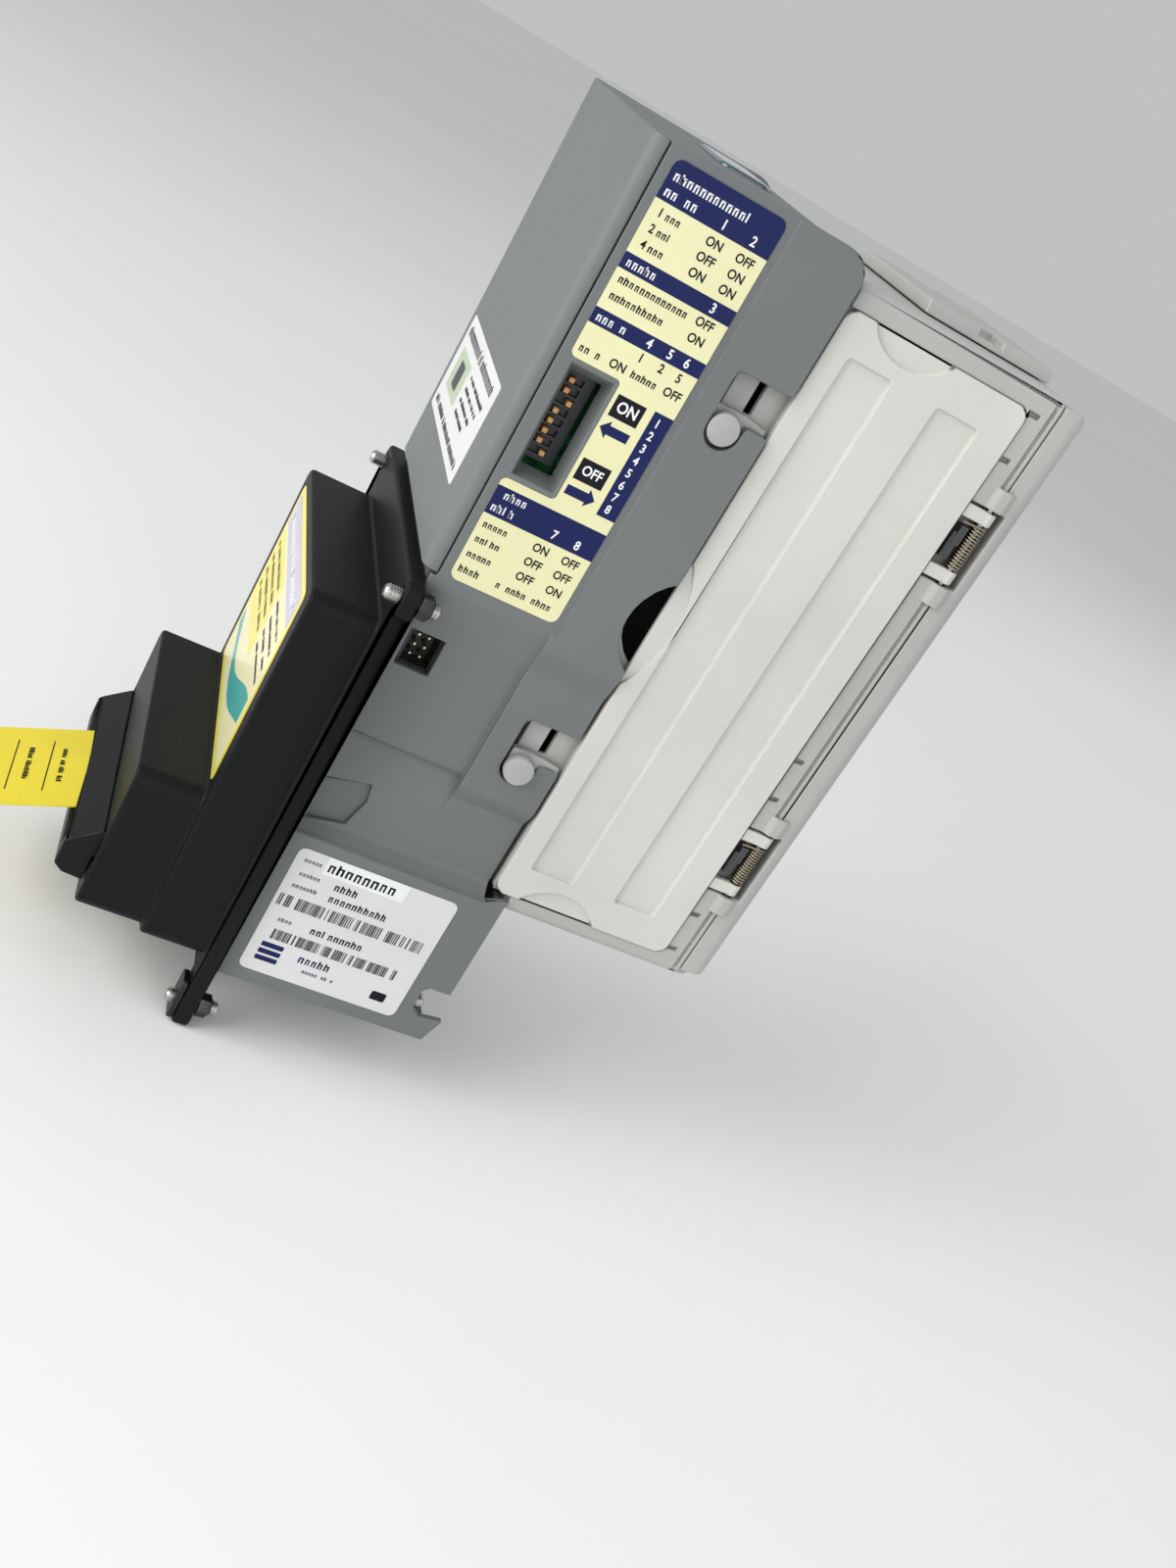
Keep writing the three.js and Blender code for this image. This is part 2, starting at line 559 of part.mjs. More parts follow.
function transportMotor() {
  const { neckR, motorX } = TRAIN;
  const can = extrude('x', disc(motorAxis.y, motorAxis.z, MOTOR_R), motorX, 8);
  const neck = extrude('x', disc(motorAxis.y, motorAxis.z, neckR), [motorX[0] - 2.4, motorX[0] + 1], 6);
  return cut(join(can, neck), shaft(motorAxis, [motorX[0] - 3, motorX[0] + 4], TRAIN.spindle + RUN));
}

// ---------- stacker ----------
const rackPitchZ = STACKER.z + GEAR.module * STACKER.teeth / 2;

function rackOutline() {
  const pitch = Math.PI * GEAR.module;
  const points = [];
  const foot = rackPitchZ - 0.9 * GEAR.module;
  const root = rackPitchZ + 1.25 * GEAR.module;
  for (let k = -4; k < 2; k++) {
    const mid = STACKER.y + (k + 0.5) * pitch;
    points.push([mid - 0.32 * pitch, root], [mid - 0.1 * pitch, foot], [mid + 0.1 * pitch, foot],
      [mid + 0.32 * pitch, root]);
  }
  const last = PUSHER.y + 0.5;
  return outline([...points, [last, root], [last, root + 3.4], [points[0][0], root + 3.4]]);
}

function pusherPlate() {
  const { half, y, thick, z } = PUSHER;
  const face = extrude('y', roundedRect([-half, half], z, 4), [y, y + thick]);
  const ribs = [-20, 20].map((x) => box([x - 1, x + 1], [y - 2.5, y + 0.5], [z[0] + 8, z[1] - 8]));
  const racks = bothSides((s) => extrude('x', rackOutline(),
    side(s, RACK_X - GEAR.width / 2, RACK_X + GEAR.width / 2)));
  const aroundGears = box([-half, half], [y - 4, y - 0.2], [STACKER.z - 12, STACKER.z + 20]);
  return join(face, racks, ...ribs.map((rib) => cut(rib, aroundGears)));
}

function stackerPinions() {
  const turn = Math.PI / 2;
  return join(extrude('x', disc(STACKER.y, STACKER.z, 1.5), [-RACK_X - 3, RACK_X + 3], 4),
    bothSides((s) => extrude('x', gearOutline(STACKER.y, STACKER.z, STACKER.teeth, turn),
      side(s, RACK_X - GEAR.width / 2, RACK_X + GEAR.width / 2))));
}

function stackerMotor() {
  const { y, z, motorR, motorHalf } = STACKER;
  const can = extrude('x', disc(y, z, motorR), [-motorHalf, motorHalf], 8);
  return cut(can, extrude('x', disc(y, z, 1.5 + RUN), [-motorHalf - 1, motorHalf + 1], 6));
}

// ---------- cassette ----------
function hingeWindow(z) {
  return box([DOOR.pinX - 2.6, BODY.half + 1], HINGE.y, [z, z + HINGE.height]);
}

function cassetteBody() {
  const { half, front, part, foot, top, wall, corner } = BODY;
  const { near, foot: storeFoot, top: storeTop } = STORE;
  const back = part - GAP;
  const shell = join(
    extrude('y', roundedRect([-half, half], [STEP.plateTop + 2.7, top], 3), [front, back]),
    extrude('y', roundedRect([-half, half], [foot, TONGUE.foot + 14], 3), [HOUSING.rear + RUN, back]),
    box([-TONGUE.half, TONGUE.half], [TONGUE.front, front + 1], [TONGUE.foot, TONGUE.top]),
  );
  const inner = join(
    box([-half + wall, near], [HOUSING.rear + RUN + wall, back + 1], [storeFoot, storeTop]),
    box([-half + wall, near], [front + wall, back + 1], [STEP.plateTop + 2.7 + wall, storeTop]),
    box([-TONGUE.half + TONGUE.wall, TONGUE.half - TONGUE.wall],
      [TONGUE.front + TONGUE.wall, front + wall + 1], [TONGUE.foot - 1, TONGUE.top - TONGUE.wall]),
  );
  const rebate = extrude('x', roundedRect([DOOR.y[0] - 2, DOOR.y[1] + GAP],
    [DOOR.z[0] - GAP, DOOR.z[1] + GAP], DOOR.corner), [DOOR.x[0] - GAP, half + 1]);
  const doorway = extrude('x', roundedRect([30, 72], [58, 211], 3), [near - 1, half]);
  const window = box([-30, 30], [TONGUE.front - 1, TONGUE.front + TONGUE.wall + 1], [TONGUE.foot - 1, 210]);
  const slots = [KEYHOLE.z, lowStudZ].map((z) => box([TONGUE.half - 3, TONGUE.half + 1],
    [KEYHOLE.y + 3.6, KEYHOLE.y + 5.6], [z + 4.6, z + KEYHOLE.rise + 1.4]));
  const clips = CLIP.z.map((z) => box([half - 1.6, half + 1], CLIP.y, [z, z + CLIP.height]));
  const finger = extrude('x', disc(FINGER.y, FINGER.z, FINGER.r - 1.5),
    [TONGUE.half - TONGUE.wall - 1, half + 1], 12);
  const groove = box([half - 0.5, half + 1], [HINGE.y[1] - 5.4, HINGE.y[1] - 4.8], [foot - 1, top + 1]);
  return cut(shell, inner, rebate, doorway, window, ...slots, ...clips, finger, groove,
    ...HINGE.z.map(hingeWindow), ...HINGE.z.map(hingePinHole));
}

const pinSpan = (z) => [z - 2.2, z + HINGE.height + 2.2];

function hingePinHole(z) {
  const span = pinSpan(z);
  return extrude('z', disc(DOOR.pinX, DOOR.pinY, HINGE.pinR + 0.1), [span[0] - GAP, span[1] + GAP], 5);
}

function cassetteBack() {
  const { half, part, rear, foot, top, wall, corner, backStep } = BODY;
  const shell = join(
    extrude('z', roundedRect([-half, half], [part - corner, rear], corner), [foot + 2.5, top]),
    extrude('z', roundedRect([-half + 2, half - 2], [part - corner, rear - 3], corner), [foot, foot + 3]),
  );
  const sideView = extrude('x', roundedRect([part - 9, rear], [foot, top - backStep], 3.5),
    [-half - 1, half + 1]);
  const ahead = box([-half - 1, half + 1], [part - corner - 1, part], [foot - 1, top + 1]);
  const hollow = box([-half + wall, STORE.near], [part - 1, rear - wall], [STORE.foot, STORE.top]);
  return cut(shell.intersect(sideView), ahead, hollow, ...HINGE.z.map(hingeWindow),
    ...HINGE.z.map(hingePinHole));
}

function cassetteStud(s, z) {
  const reach = side(s, TONGUE.half + GAP, HOUSING.half + STUD.proud);
  return extrude('x', disc(KEYHOLE.y, z, STUD.r), reach, 12);
}

// A disc whose edge cuts a scoop `deep` into a straight edge, over a length of 2 x `half`.
function scoopDisc(half, deep) {
  const r = (half ** 2 + deep ** 2) / 2 / deep;
  return { r, outside: r - deep };
}

function cassetteDoor() {
  const { y, z, x, corner, pinX, pinY, sunk } = DOOR;
  const panel = extrude('x', roundedRect(y, z, corner), x, 6);
  const top = [x[1] - sunk, x[1] + 1];
  const recess = (span) => extrude('x', roundedRect(span, [z[0] + 9.5, z[1] - 9.2], 1), top);
  const knuckles = HINGE.z.flatMap((base) => {
    const low = [base + HINGE.gap, base + HINGE.gap + HINGE.knuckle];
    const high = [base + HINGE.height - HINGE.gap - HINGE.knuckle, base + HINGE.height - HINGE.gap];
    return [low, high].map((span) => cut(
      join(extrude('z', disc(pinX, pinY, HINGE.knuckleR), span, 5),
        box([x[0], x[0] + 2], [y[1] - 1, pinY], span)),
      extrude('z', disc(pinX, pinY, HINGE.pinR + 0.25), [span[0] - 1, span[1] + 1], 5),
    ));
  });
  const end = scoopDisc(SCOOP.half, SCOOP.deep);
  const edge = scoopDisc(SCOOP.sideHalf, SCOOP.sideDeep);
  const scoops = [
    extrude('x', disc(SCOOP.y, z[1] + end.outside, end.r), top, 24),
    extrude('x', disc(SCOOP.y, z[0] - end.outside, end.r), top, 24),
    extrude('x', disc(y[0] - edge.outside, FINGER.z + 1, edge.r), top, 24),
  ];
  const recesses = [recess([y[0] + 6, y[0] + 18]), recess([y[0] + 31, y[0] + 43])];
  return join(cut(panel, ...recesses, ...scoops), ...knuckles);
}

function hingePin(z) {
  return extrude('z', disc(DOOR.pinX, DOOR.pinY, HINGE.pinR), pinSpan(z), 4);
}

function hingeSpring(z) {
  const inset = HINGE.gap + HINGE.knuckle + RUN;
  return extrude('z', disc(DOOR.pinX, DOOR.pinY, HINGE.springR, HINGE.pinR + 0.3),
    [z + inset, z + HINGE.height - inset], 5);
}

function grip() {
  const { half, y, rise } = GRIP;
  const foot = BODY.top + GAP;
  const top = foot + rise;
  const notch = (s) => box(side(s, half - 8, half + 1), [y[0] + 15, y[0] + 22], [foot + 1.4, top + 1]);
  const profile = outline([[-half, foot], [half, foot], [half - 1.4, top], [-half + 1.4, top]]);
  return cut(extrude('y', profile, y), notch(1), notch(-1));
}

const plateY = TONGUE.front + TONGUE.wall + GAP;

function pressurePlate() {
  const { half, z, thick } = PLATE;
  const seat = extrude('y', disc(0, COIL.z, COIL.r - 2.2, COIL.r - 4.2),
    [plateY + thick - 0.5, plateY + thick + 5], 8);
  return join(extrude('y', roundedRect([-half, half], z, 3), [plateY, plateY + thick]), seat);
}

function pressureSpring() {
  const start = plateY + PLATE.thick + GAP;
  return extrude('y', disc(0, COIL.z, COIL.r, COIL.r - COIL.wire), [start, BODY.rear - BODY.wall - GAP], 6);
}

// ---------- assembly ----------
add('housing', 'housing', housing());
add('front_cover', 'housing', frontCover());
add('base_cross_pin', 'steel', basePin());
add('bezel_mask', 'black', bezel());
add('entry_nose', 'black', entryNose());
for (const [hand, s] of [['near', 1], ['far', -1]]) {
  add(`mount_stud_upper_${hand}`, 'steel', mountStud(s * MOUNT_STUD.upX, MOUNT_STUD.upZ));
  add(`mount_stud_lower_${hand}`, 'steel', mountStud(s * MOUNT_STUD.lowX, MOUNT_STUD.lowZ));
  add(`lug_plate_${hand}`, 'steel', lugPlate(s));
}
const inside = (span) => [span[0] + GAP, span[1] - GAP];
add('top_lens', 'lens', box(inside(LENS.x), inside(LENS.y), [HOUSING.top - 1.8, HOUSING.top + 0.9]));

add('switch_label', 'label', switchLabel());
add('rating_label', 'paper', sheet(RATING.y, RATING.z));
add('note_sticker', 'paper', faceSheet(NOTE.x, NOTE.z, COVER.front));
add('bezel_decal', 'decal', faceSheet([-37, 37], [BLOCK.top + 1.5, BEZEL.top - 3.5], BEZEL.front));

add('main_board', 'board', mainBoard());
add('optic_board', 'board', opticBoard());
add('harness_socket', 'dark', harnessSocket());
add('switch_body', 'dark', switchBody());
for (let number = 1; number <= SWITCH.count; number++) {
  add(`switch_lever_${number}`, 'gear', switchLever(number));
}
add('transformer_core', 'steel', transformer());
add('transformer_coil', 'copper', transformerCoil());

add('transport_motor', 'steel', transportMotor());
add('motor_pinion', 'gear', motorPinion());
add('entry_roller', 'rubber', entryRoller());
add('pinch_roller', 'rubber', pinchRoller());
add('belt_shaft_lower', 'gear', beltShaft(beltAxis, true));
add('belt_shaft_upper', 'gear', beltShaft({ y: BELT.y, z: BELT.topZ }, false));
add('feed_belt_near', 'rubber', feedBelt(1));
add('feed_belt_far', 'rubber', feedBelt(-1));
add('stacker_motor', 'steel', stackerMotor());
add('stacker_pinions', 'gear', stackerPinions());
add('pusher_plate', 'gear', pusherPlate());

add('cassette_body', 'cassette', cassetteBody());
add('cassette_back', 'cassette', cassetteBack());
for (const [hand, s] of [['near', 1], ['far', -1]]) {
  add(`cassette_stud_upper_${hand}`, 'cassette', cassetteStud(s, KEYHOLE.z));
  add(`cassette_stud_lower_${hand}`, 'cassette', cassetteStud(s, lowStudZ));
}
add('cassette_grip', 'cassette', grip());
HINGE.z.forEach((z, i) => {
  const place = ['lower', 'upper'][i];
  add(`hinge_pin_${place}`, 'steel', hingePin(z));
  add(`hinge_spring_${place}`, 'steel', hingeSpring(z));
});
add('cassette_door', 'door', cassetteDoor());
add('pressure_plate', 'dark', pressurePlate());
add('pressure_spring', 'steel', pressureSpring());

const strip = new THREE.Mesh(
  new THREE.BoxGeometry(STRIP.half * 2, STRIP.outside + STRIP.inside, STRIP.thick),
  new THREE.MeshStandardMaterial({ metalness: 0, ...FINISH.strip }),
);
strip.name = 'packing_strip';
const stripMid = PATH.mouthY + (STRIP.inside - STRIP.outside) / 2 * Math.cos(PATH.tilt);
strip.position.set(0, stripMid, pathZ(stripMid));
strip.rotation.x = PATH.tilt;
group.add(strip);

export default group;
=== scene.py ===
"""Bill validator with a removable cassette: the visible pieces, their finishes and a plain studio.

Shapes are worked out in millimetres in the part's own frame and stored in metres. +Z is up, -Y is
the side the customer sees and +X is the side with the switch window.
"""
import math
import random

import bmesh
import bpy
from bpy.props import FloatProperty, FloatVectorProperty, IntProperty, PointerProperty
from mathutils import Euler, Matrix, Vector


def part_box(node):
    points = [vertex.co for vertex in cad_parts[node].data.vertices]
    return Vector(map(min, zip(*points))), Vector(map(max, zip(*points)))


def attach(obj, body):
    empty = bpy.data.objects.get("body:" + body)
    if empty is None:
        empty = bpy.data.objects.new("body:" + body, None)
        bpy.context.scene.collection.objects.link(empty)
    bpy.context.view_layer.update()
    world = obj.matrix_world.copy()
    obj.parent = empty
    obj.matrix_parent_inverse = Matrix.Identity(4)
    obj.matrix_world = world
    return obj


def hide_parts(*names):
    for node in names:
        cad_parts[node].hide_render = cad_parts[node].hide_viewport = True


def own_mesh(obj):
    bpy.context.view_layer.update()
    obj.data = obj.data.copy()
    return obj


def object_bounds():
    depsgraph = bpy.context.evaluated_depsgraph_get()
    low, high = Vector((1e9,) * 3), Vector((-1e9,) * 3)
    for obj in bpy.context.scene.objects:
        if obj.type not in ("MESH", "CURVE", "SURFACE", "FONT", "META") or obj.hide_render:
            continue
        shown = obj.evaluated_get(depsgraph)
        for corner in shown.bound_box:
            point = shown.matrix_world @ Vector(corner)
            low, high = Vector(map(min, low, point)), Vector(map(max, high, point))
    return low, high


bl_info = {
    "name": "Bill Validator",
    "version": (1, 0, 0),
    "blender": (4, 5, 0),
    "location": "3D View > Sidebar > Validator",
    "description": "Builds the pieces, finishes and studio of a bill validator around its packed frame",
    "category": "Object",
}

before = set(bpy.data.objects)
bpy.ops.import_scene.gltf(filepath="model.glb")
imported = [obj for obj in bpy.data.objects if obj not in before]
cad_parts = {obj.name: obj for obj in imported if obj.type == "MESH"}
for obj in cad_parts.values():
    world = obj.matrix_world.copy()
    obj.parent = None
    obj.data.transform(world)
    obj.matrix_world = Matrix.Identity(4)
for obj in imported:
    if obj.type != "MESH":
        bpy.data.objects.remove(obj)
CAD_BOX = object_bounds()
MM = 0.001


def mid(ends):
    """The middle between two numbers."""
    return (ends[0] + ends[1]) / 2


def span(node):
    """A frame node's box in millimetres, as ((x, x), (y, y), (z, z))."""
    low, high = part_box(node)
    return tuple((low[i] / MM, high[i] / MM) for i in range(3))


# Places taken from the frame, in millimetres.
LABEL = span("switch_label")
RATING = span("rating_label")
NOTE = span("note_sticker")
DECAL = span("bezel_decal")
DOOR = span("cassette_door")
BEZEL = span("bezel_mask")
STRIP = span("packing_strip")
GAP = 0.3                           # air between two pieces of the frame
SIDE_X = LABEL[0][0] - GAP          # the flat side that carries the labels
COVER_Y = NOTE[1][1] + GAP          # front face of the cover
BEZEL_Y = DECAL[1][1] + GAP         # front face of the bezel's upper box
STRIP_TILT = math.radians(22)       # the bill path rises by this angle towards the rear


# ---------------------------------------------------------------- sizes and colours

class ValidatorSizes(bpy.types.PropertyGroup):
    """Sizes of the modelled detail that the frame doesn't hold."""

    housing_edge: FloatProperty(name="Housing edge", description="Rounding of the grey housing's edges",
                                default=0.00035, unit="LENGTH")
    ramp_edge: FloatProperty(name="Ramp edge", description="Rounding where the labelled side changes level",
                             default=0.0012, unit="LENGTH")
    mouth_corner: FloatProperty(name="Mouth corner", description="Rounding of the mouths that the studs slide in",
                                default=0.0022, unit="LENGTH")
    bezel_edge: FloatProperty(name="Bezel edge", description="Rounding of the black bezel's edges",
                              default=0.0009, unit="LENGTH")
    door_edge: FloatProperty(name="Door edge", description="Rounding of the door's edges and recesses",
                             default=0.0004, unit="LENGTH")
    label_thickness: FloatProperty(name="Label thickness", description="Thickness of each label sheet",
                                   default=0.00016, unit="LENGTH")
    ink_thickness: FloatProperty(name="Ink thickness", description="How far the printing stands off a label",
                                 default=0.00003, unit="LENGTH")
    letter_height: FloatProperty(name="Letter size", description="Type size of the printed words and numbers",
                                 default=0.0031, unit="LENGTH")
    spring_wire: FloatProperty(name="Spring wire", description="Wire of the two door springs",
                               default=0.0005, unit="LENGTH")
    spring_turns: IntProperty(name="Spring turns", description="Turns of each door spring", default=14, min=2)
    thread_pitch: FloatProperty(name="Thread pitch", description="Pitch of the mounting studs' threads",
                                default=0.0007, unit="LENGTH")
    belt_pitch: FloatProperty(name="Belt pitch", description="Distance between two teeth of a feed belt",
                              default=0.00203, unit="LENGTH")
    lamination: FloatProperty(name="Lamination", description="Pitch of the transformer's iron sheets",
                              default=0.0007, unit="LENGTH")
    key_light: FloatProperty(name="Key light", description="Power of the large soft light in front",
                             default=16.0, unit="POWER")
    fill_light: FloatProperty(name="Fill light", description="Power of the soft light beside the camera",
                              default=4.2, unit="POWER")
    sky: FloatProperty(name="Sky", description="Strength of the even light from all round", default=0.60)


def colour(name, description, default):
    """A colour that a user can change."""
    return FloatVectorProperty(name=name, description=description, default=default, subtype="COLOR",
                               size=3, min=0.0, max=1.0)


class ValidatorColours(bpy.types.PropertyGroup):
    """Base colours of the finishes."""

    housing: colour("Housing", "Moulded grey of the housing and its cover", (0.150, 0.163, 0.163))
    bezel: colour("Bezel", "Moulded black of the bezel", (0.008, 0.009, 0.0095))
    cassette: colour("Cassette", "Light grey of the cassette", (0.43, 0.43, 0.41))
    door: colour("Door", "Warm white of the cassette door", (0.61, 0.605, 0.565))
    stud: colour("Stud", "Pale grey of the cassette studs", (0.40, 0.405, 0.39))
    navy: colour("Navy ink", "Dark blue printing", (0.007, 0.013, 0.085))
    cream: colour("Cream stock", "Pale yellow label stock", (0.78, 0.75, 0.44))
    paper: colour("Paper", "White label stock", (0.68, 0.68, 0.675))
    strip: colour("Strip", "Yellow packing strip", (0.74, 0.60, 0.010))
    board: colour("Board", "Green of the circuit boards", (0.012, 0.11, 0.035))
    gear: colour("Gear", "Natural nylon of the gears", (0.62, 0.58, 0.47))
    rubber: colour("Rubber", "Black rubber of rollers and belts", (0.02, 0.02, 0.02))
    floor: colour("Floor", "Pale studio floor", (0.90, 0.90, 0.885))


def sizes():
    return bpy.context.scene.validator_sizes


def colours():
    return bpy.context.scene.validator_colours


# ---------------------------------------------------------------- mesh work

PLACE = {
    "x": lambda u, v, w: (w, u, v),   # outline in Y and Z
    "y": lambda u, v, w: (u, w, v),   # outline in X and Z
    "z": lambda u, v, w: (u, v, w),   # outline in X and Y
}


def fillet(points, radii, steps=6):
    """The outline with each corner rounded to its own radius."""
    made = []
    count = len(points)
    for i, point in enumerate(points):
        corner, radius = Vector(point), radii[i] if hasattr(radii, "__len__") else radii
        if radius <= 0:
            made.append(tuple(corner))
            continue
        before = (Vector(points[i - 1]) - corner).normalized()
        after = (Vector(points[(i + 1) % count]) - corner).normalized()
        half = before.angle(after) / 2
        centre = corner + (before + after).normalized() * (radius / math.sin(half))
        start = corner + before * (radius / math.tan(half)) - centre
        end = corner + after * (radius / math.tan(half)) - centre
        turn = start.angle_signed(end)
        for k in range(steps + 1):
            spun = Matrix.Rotation(-turn * k / steps, 2) @ start
            made.append(tuple(centre + spun))
    return made


def rectangle(u, v, radius=0.0, steps=6):
    return fillet([(u[0], v[0]), (u[1], v[0]), (u[1], v[1]), (u[0], v[1])], radius, steps)


def circle(u, v, radius, steps=48):
    return [(u + radius * math.cos(math.tau * k / steps), v + radius * math.sin(math.tau * k / steps))
            for k in range(steps)]


def prism(bm, axis, points, ends):
    """A closed prism with that outline between the two ends along the axis."""
    put = PLACE[axis]
    low, high = ([bm.verts.new(put(u, v, w)) for u, v in points] for w in ends)
    count = len(points)
    faces = [bm.faces.new((low[i], low[(i + 1) % count], high[(i + 1) % count], high[i])) for i in range(count)]
    faces += [bm.faces.new(low[::-1]), bm.faces.new(high)]
    bmesh.ops.recalc_face_normals(bm, faces=faces)


def box(bm, x, y, z):
    prism(bm, "z", rectangle(x, y), z)


def lathe(bm, axis, centre, profile, steps=40):
    """A turned body: profile is (place along the axis, radius) pairs, closed flat at both ends."""
    put = PLACE[axis]
    rings = [[bm.verts.new(put(u, v, w)) for u, v in circle(*centre, radius, steps)] for w, radius in profile]
    faces = [bm.faces.new((a[k], a[(k + 1) % steps], b[(k + 1) % steps], b[k]))
             for a, b in zip(rings, rings[1:]) for k in range(steps)]
    faces += [bm.faces.new(rings[0][::-1]), bm.faces.new(rings[-1])]
    bmesh.ops.recalc_face_normals(bm, faces=faces)


def ring(bm, axis, centre, profile, steps=48):
    """A turned ring: profile is a closed loop of (place along the axis, radius) pairs."""
    put = PLACE[axis]
    rings = [[bm.verts.new(put(u, v, w)) for u, v in circle(*centre, radius, steps)] for w, radius in profile]
    faces = [bm.faces.new((a[k], a[(k + 1) % steps], b[(k + 1) % steps], b[k]))
             for a, b in zip(rings, rings[1:] + rings[:1]) for k in range(steps)]
    bmesh.ops.recalc_face_normals(bm, faces=faces)


def tube(bm, points, radius, sides=8):
    """A round wire along the points."""
    line = [Vector(p) for p in points]
    normal = (line[1] - line[0]).orthogonal().normalized()
    rings = []
    for i, here in enumerate(line):
        along = (line[min(i + 1, len(line) - 1)] - line[max(i - 1, 0)]).normalized()
        normal = (normal - along * normal.dot(along)).normalized()
        across = along.cross(normal)
        rings.append([bm.verts.new(here + (normal * math.cos(a) + across * math.sin(a)) * radius)
                      for a in (math.tau * k / sides for k in range(sides))])
    faces = [bm.faces.new((a[k], a[(k + 1) % sides], b[(k + 1) % sides], b[k]))
             for a, b in zip(rings, rings[1:]) for k in range(sides)]
    faces += [bm.faces.new(rings[0][::-1]), bm.faces.new(rings[-1])]
    bmesh.ops.recalc_face_normals(bm, faces=faces)


def copy_of(node, cuts=(), convex=False):
    """A merged copy of a frame node with flat faces joined up, in millimetres.

    cuts are planes, each an axis and a place, that split the faces round an opening, so that none
    encloses a hole. convex splits the joined faces until none has an inward corner.
    """
    bm = bmesh.new()
    bm.from_mesh(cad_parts[node].data)
    bmesh.ops.remove_doubles(bm, verts=bm.verts, dist=2e-6)
    for axis, place in cuts:
        normal = Vector([float(axis == letter) for letter in "xyz"])
        cut = bmesh.ops.bisect_plane(bm, geom=bm.verts[:] + bm.edges[:] + bm.faces[:], dist=1e-6,
                                     plane_co=normal * place * MM, plane_no=normal)["geom_cut"]
        for edge in cut:
            if isinstance(edge, bmesh.types.BMEdge):
                edge.seam = True
    bmesh.ops.dissolve_limit(bm, angle_limit=math.radians(0.4), verts=bm.verts, edges=bm.edges,
                             delimit={"SEAM"})
    if convex:
        bmesh.ops.connect_verts_concave(bm, faces=bm.faces)
    bmesh.ops.scale(bm, vec=(1 / MM,) * 3, verts=bm.verts)
    return bm


def add_mesh(bm, mesh, matrix=None):
    """Adds a mesh that is in metres to the work, which is in millimetres."""
    before = len(bm.verts)
    bm.from_mesh(mesh)
    bm.verts.ensure_lookup_table()
    move = (matrix or Matrix.Identity(4)) @ Matrix.Scale(1 / MM, 4)
    bmesh.ops.transform(bm, matrix=move, verts=bm.verts[before:])
    bpy.data.meshes.remove(mesh)


def piece(name, bm, body, slot, kind, replaced=(), edge=0.0, sharp=28.0, weigh=None, steps=2):
    """Makes the work one piece of the object, in that kind of finish and riding on its body.

    edge is the rounding of its edges in metres, given to edges that turn by more than sharp degrees, or
    shared out by weigh, which gives each edge a share of it.
    """
    bmesh.ops.scale(bm, vec=(MM,) * 3, verts=bm.verts)
    if weigh:
        layer = bm.edges.layers.float.new("bevel_weight_edge")
        for e in bm.edges:
            e[layer] = weigh(e) if e.is_manifold else 0.0
    for face in bm.faces:
        face.smooth = True
    if not edge:
        for e in bm.edges:
            e.smooth = e.is_manifold and e.calc_face_angle(0) < math.radians(sharp)
    mesh = bpy.data.meshes.new(name)
    bm.to_mesh(mesh)
    bm.free()
    mesh.materials.append(finish(kind))
    obj = bpy.data.objects.new(name, mesh)
    bpy.context.scene.collection.objects.link(obj)
    if edge:
        rounding = obj.modifiers.new("Rounded edges", "BEVEL")
        rounding.width, rounding.segments = edge, steps
        rounding.limit_method = "WEIGHT" if weigh else "ANGLE"
        rounding.angle_limit = math.radians(sharp)
        rounding.use_clamp_overlap = False
        flat = obj.modifiers.new("Flat faces", "WEIGHTED_NORMAL")
        flat.weight, flat.keep_sharp = 100, True
    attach(obj, body)
    if replaced:
        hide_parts(*replaced)
    return obj


def remade(name, node, body, slot, kind, cuts=(), **look):
    """Gives a frame node its rounded edges and finish, as a piece that takes its place."""
    return piece(name, copy_of(node, cuts), body, slot, kind, [node], **look)


def lettering(bm, text, size, place, thickness, axis):
    """Adds printed characters to the work, centred on place, on a face that looks along +X or -Y."""
    curve = bpy.data.curves.new("lettering", "FONT")
    curve.body, curve.size, curve.extrude, curve.offset = text, size, thickness / 2, size * 0.02
    curve.align_x, curve.align_y, curve.resolution_u = "CENTER", "CENTER", 3
    host = bpy.data.objects.new("lettering", curve)
    bpy.context.scene.collection.objects.link(host)
    mesh = bpy.data.meshes.new_from_object(host.evaluated_get(bpy.context.evaluated_depsgraph_get()))
    bpy.data.objects.remove(host)
    bpy.data.curves.remove(curve)
    facing = Euler((math.pi / 2, 0, math.pi / 2 if axis == "x" else 0))
    narrow = Matrix.Diagonal((0.88, 1.0, 1.0, 1.0))
    add_mesh(bm, mesh, Matrix.Translation(place) @ facing.to_matrix().to_4x4() @ narrow)


# ---------------------------------------------------------------- geometry node trees

def put(tree, kind, feeds=None, **settings):
    """Adds a node, sets it up and feeds its inputs with values or other nodes' outputs."""
    node = tree.nodes.new(kind)
    for key, value in settings.items():
        setattr(node, key, value)
    for key, value in (feeds or {}).items():
        if isinstance(value, bpy.types.NodeSocket):
            tree.links.new(value, node.inputs[key])
        else:
            node.inputs[key].default_value = value
    return node


def new_tree(name, kind, inputs, outputs):
    """An empty node group with named sockets, and its input and output nodes."""
    tree = bpy.data.node_groups.new(name, kind)
    for direction, sockets in (("INPUT", inputs), ("OUTPUT", outputs)):
        for socket_name, socket_kind, *default in sockets:
            socket = tree.interface.new_socket(socket_name, in_out=direction, socket_type="NodeSocket" + socket_kind)
            if default:
                socket.default_value = default[0]
    return tree, tree.nodes.new("NodeGroupInput").outputs, tree.nodes.new("NodeGroupOutput").inputs


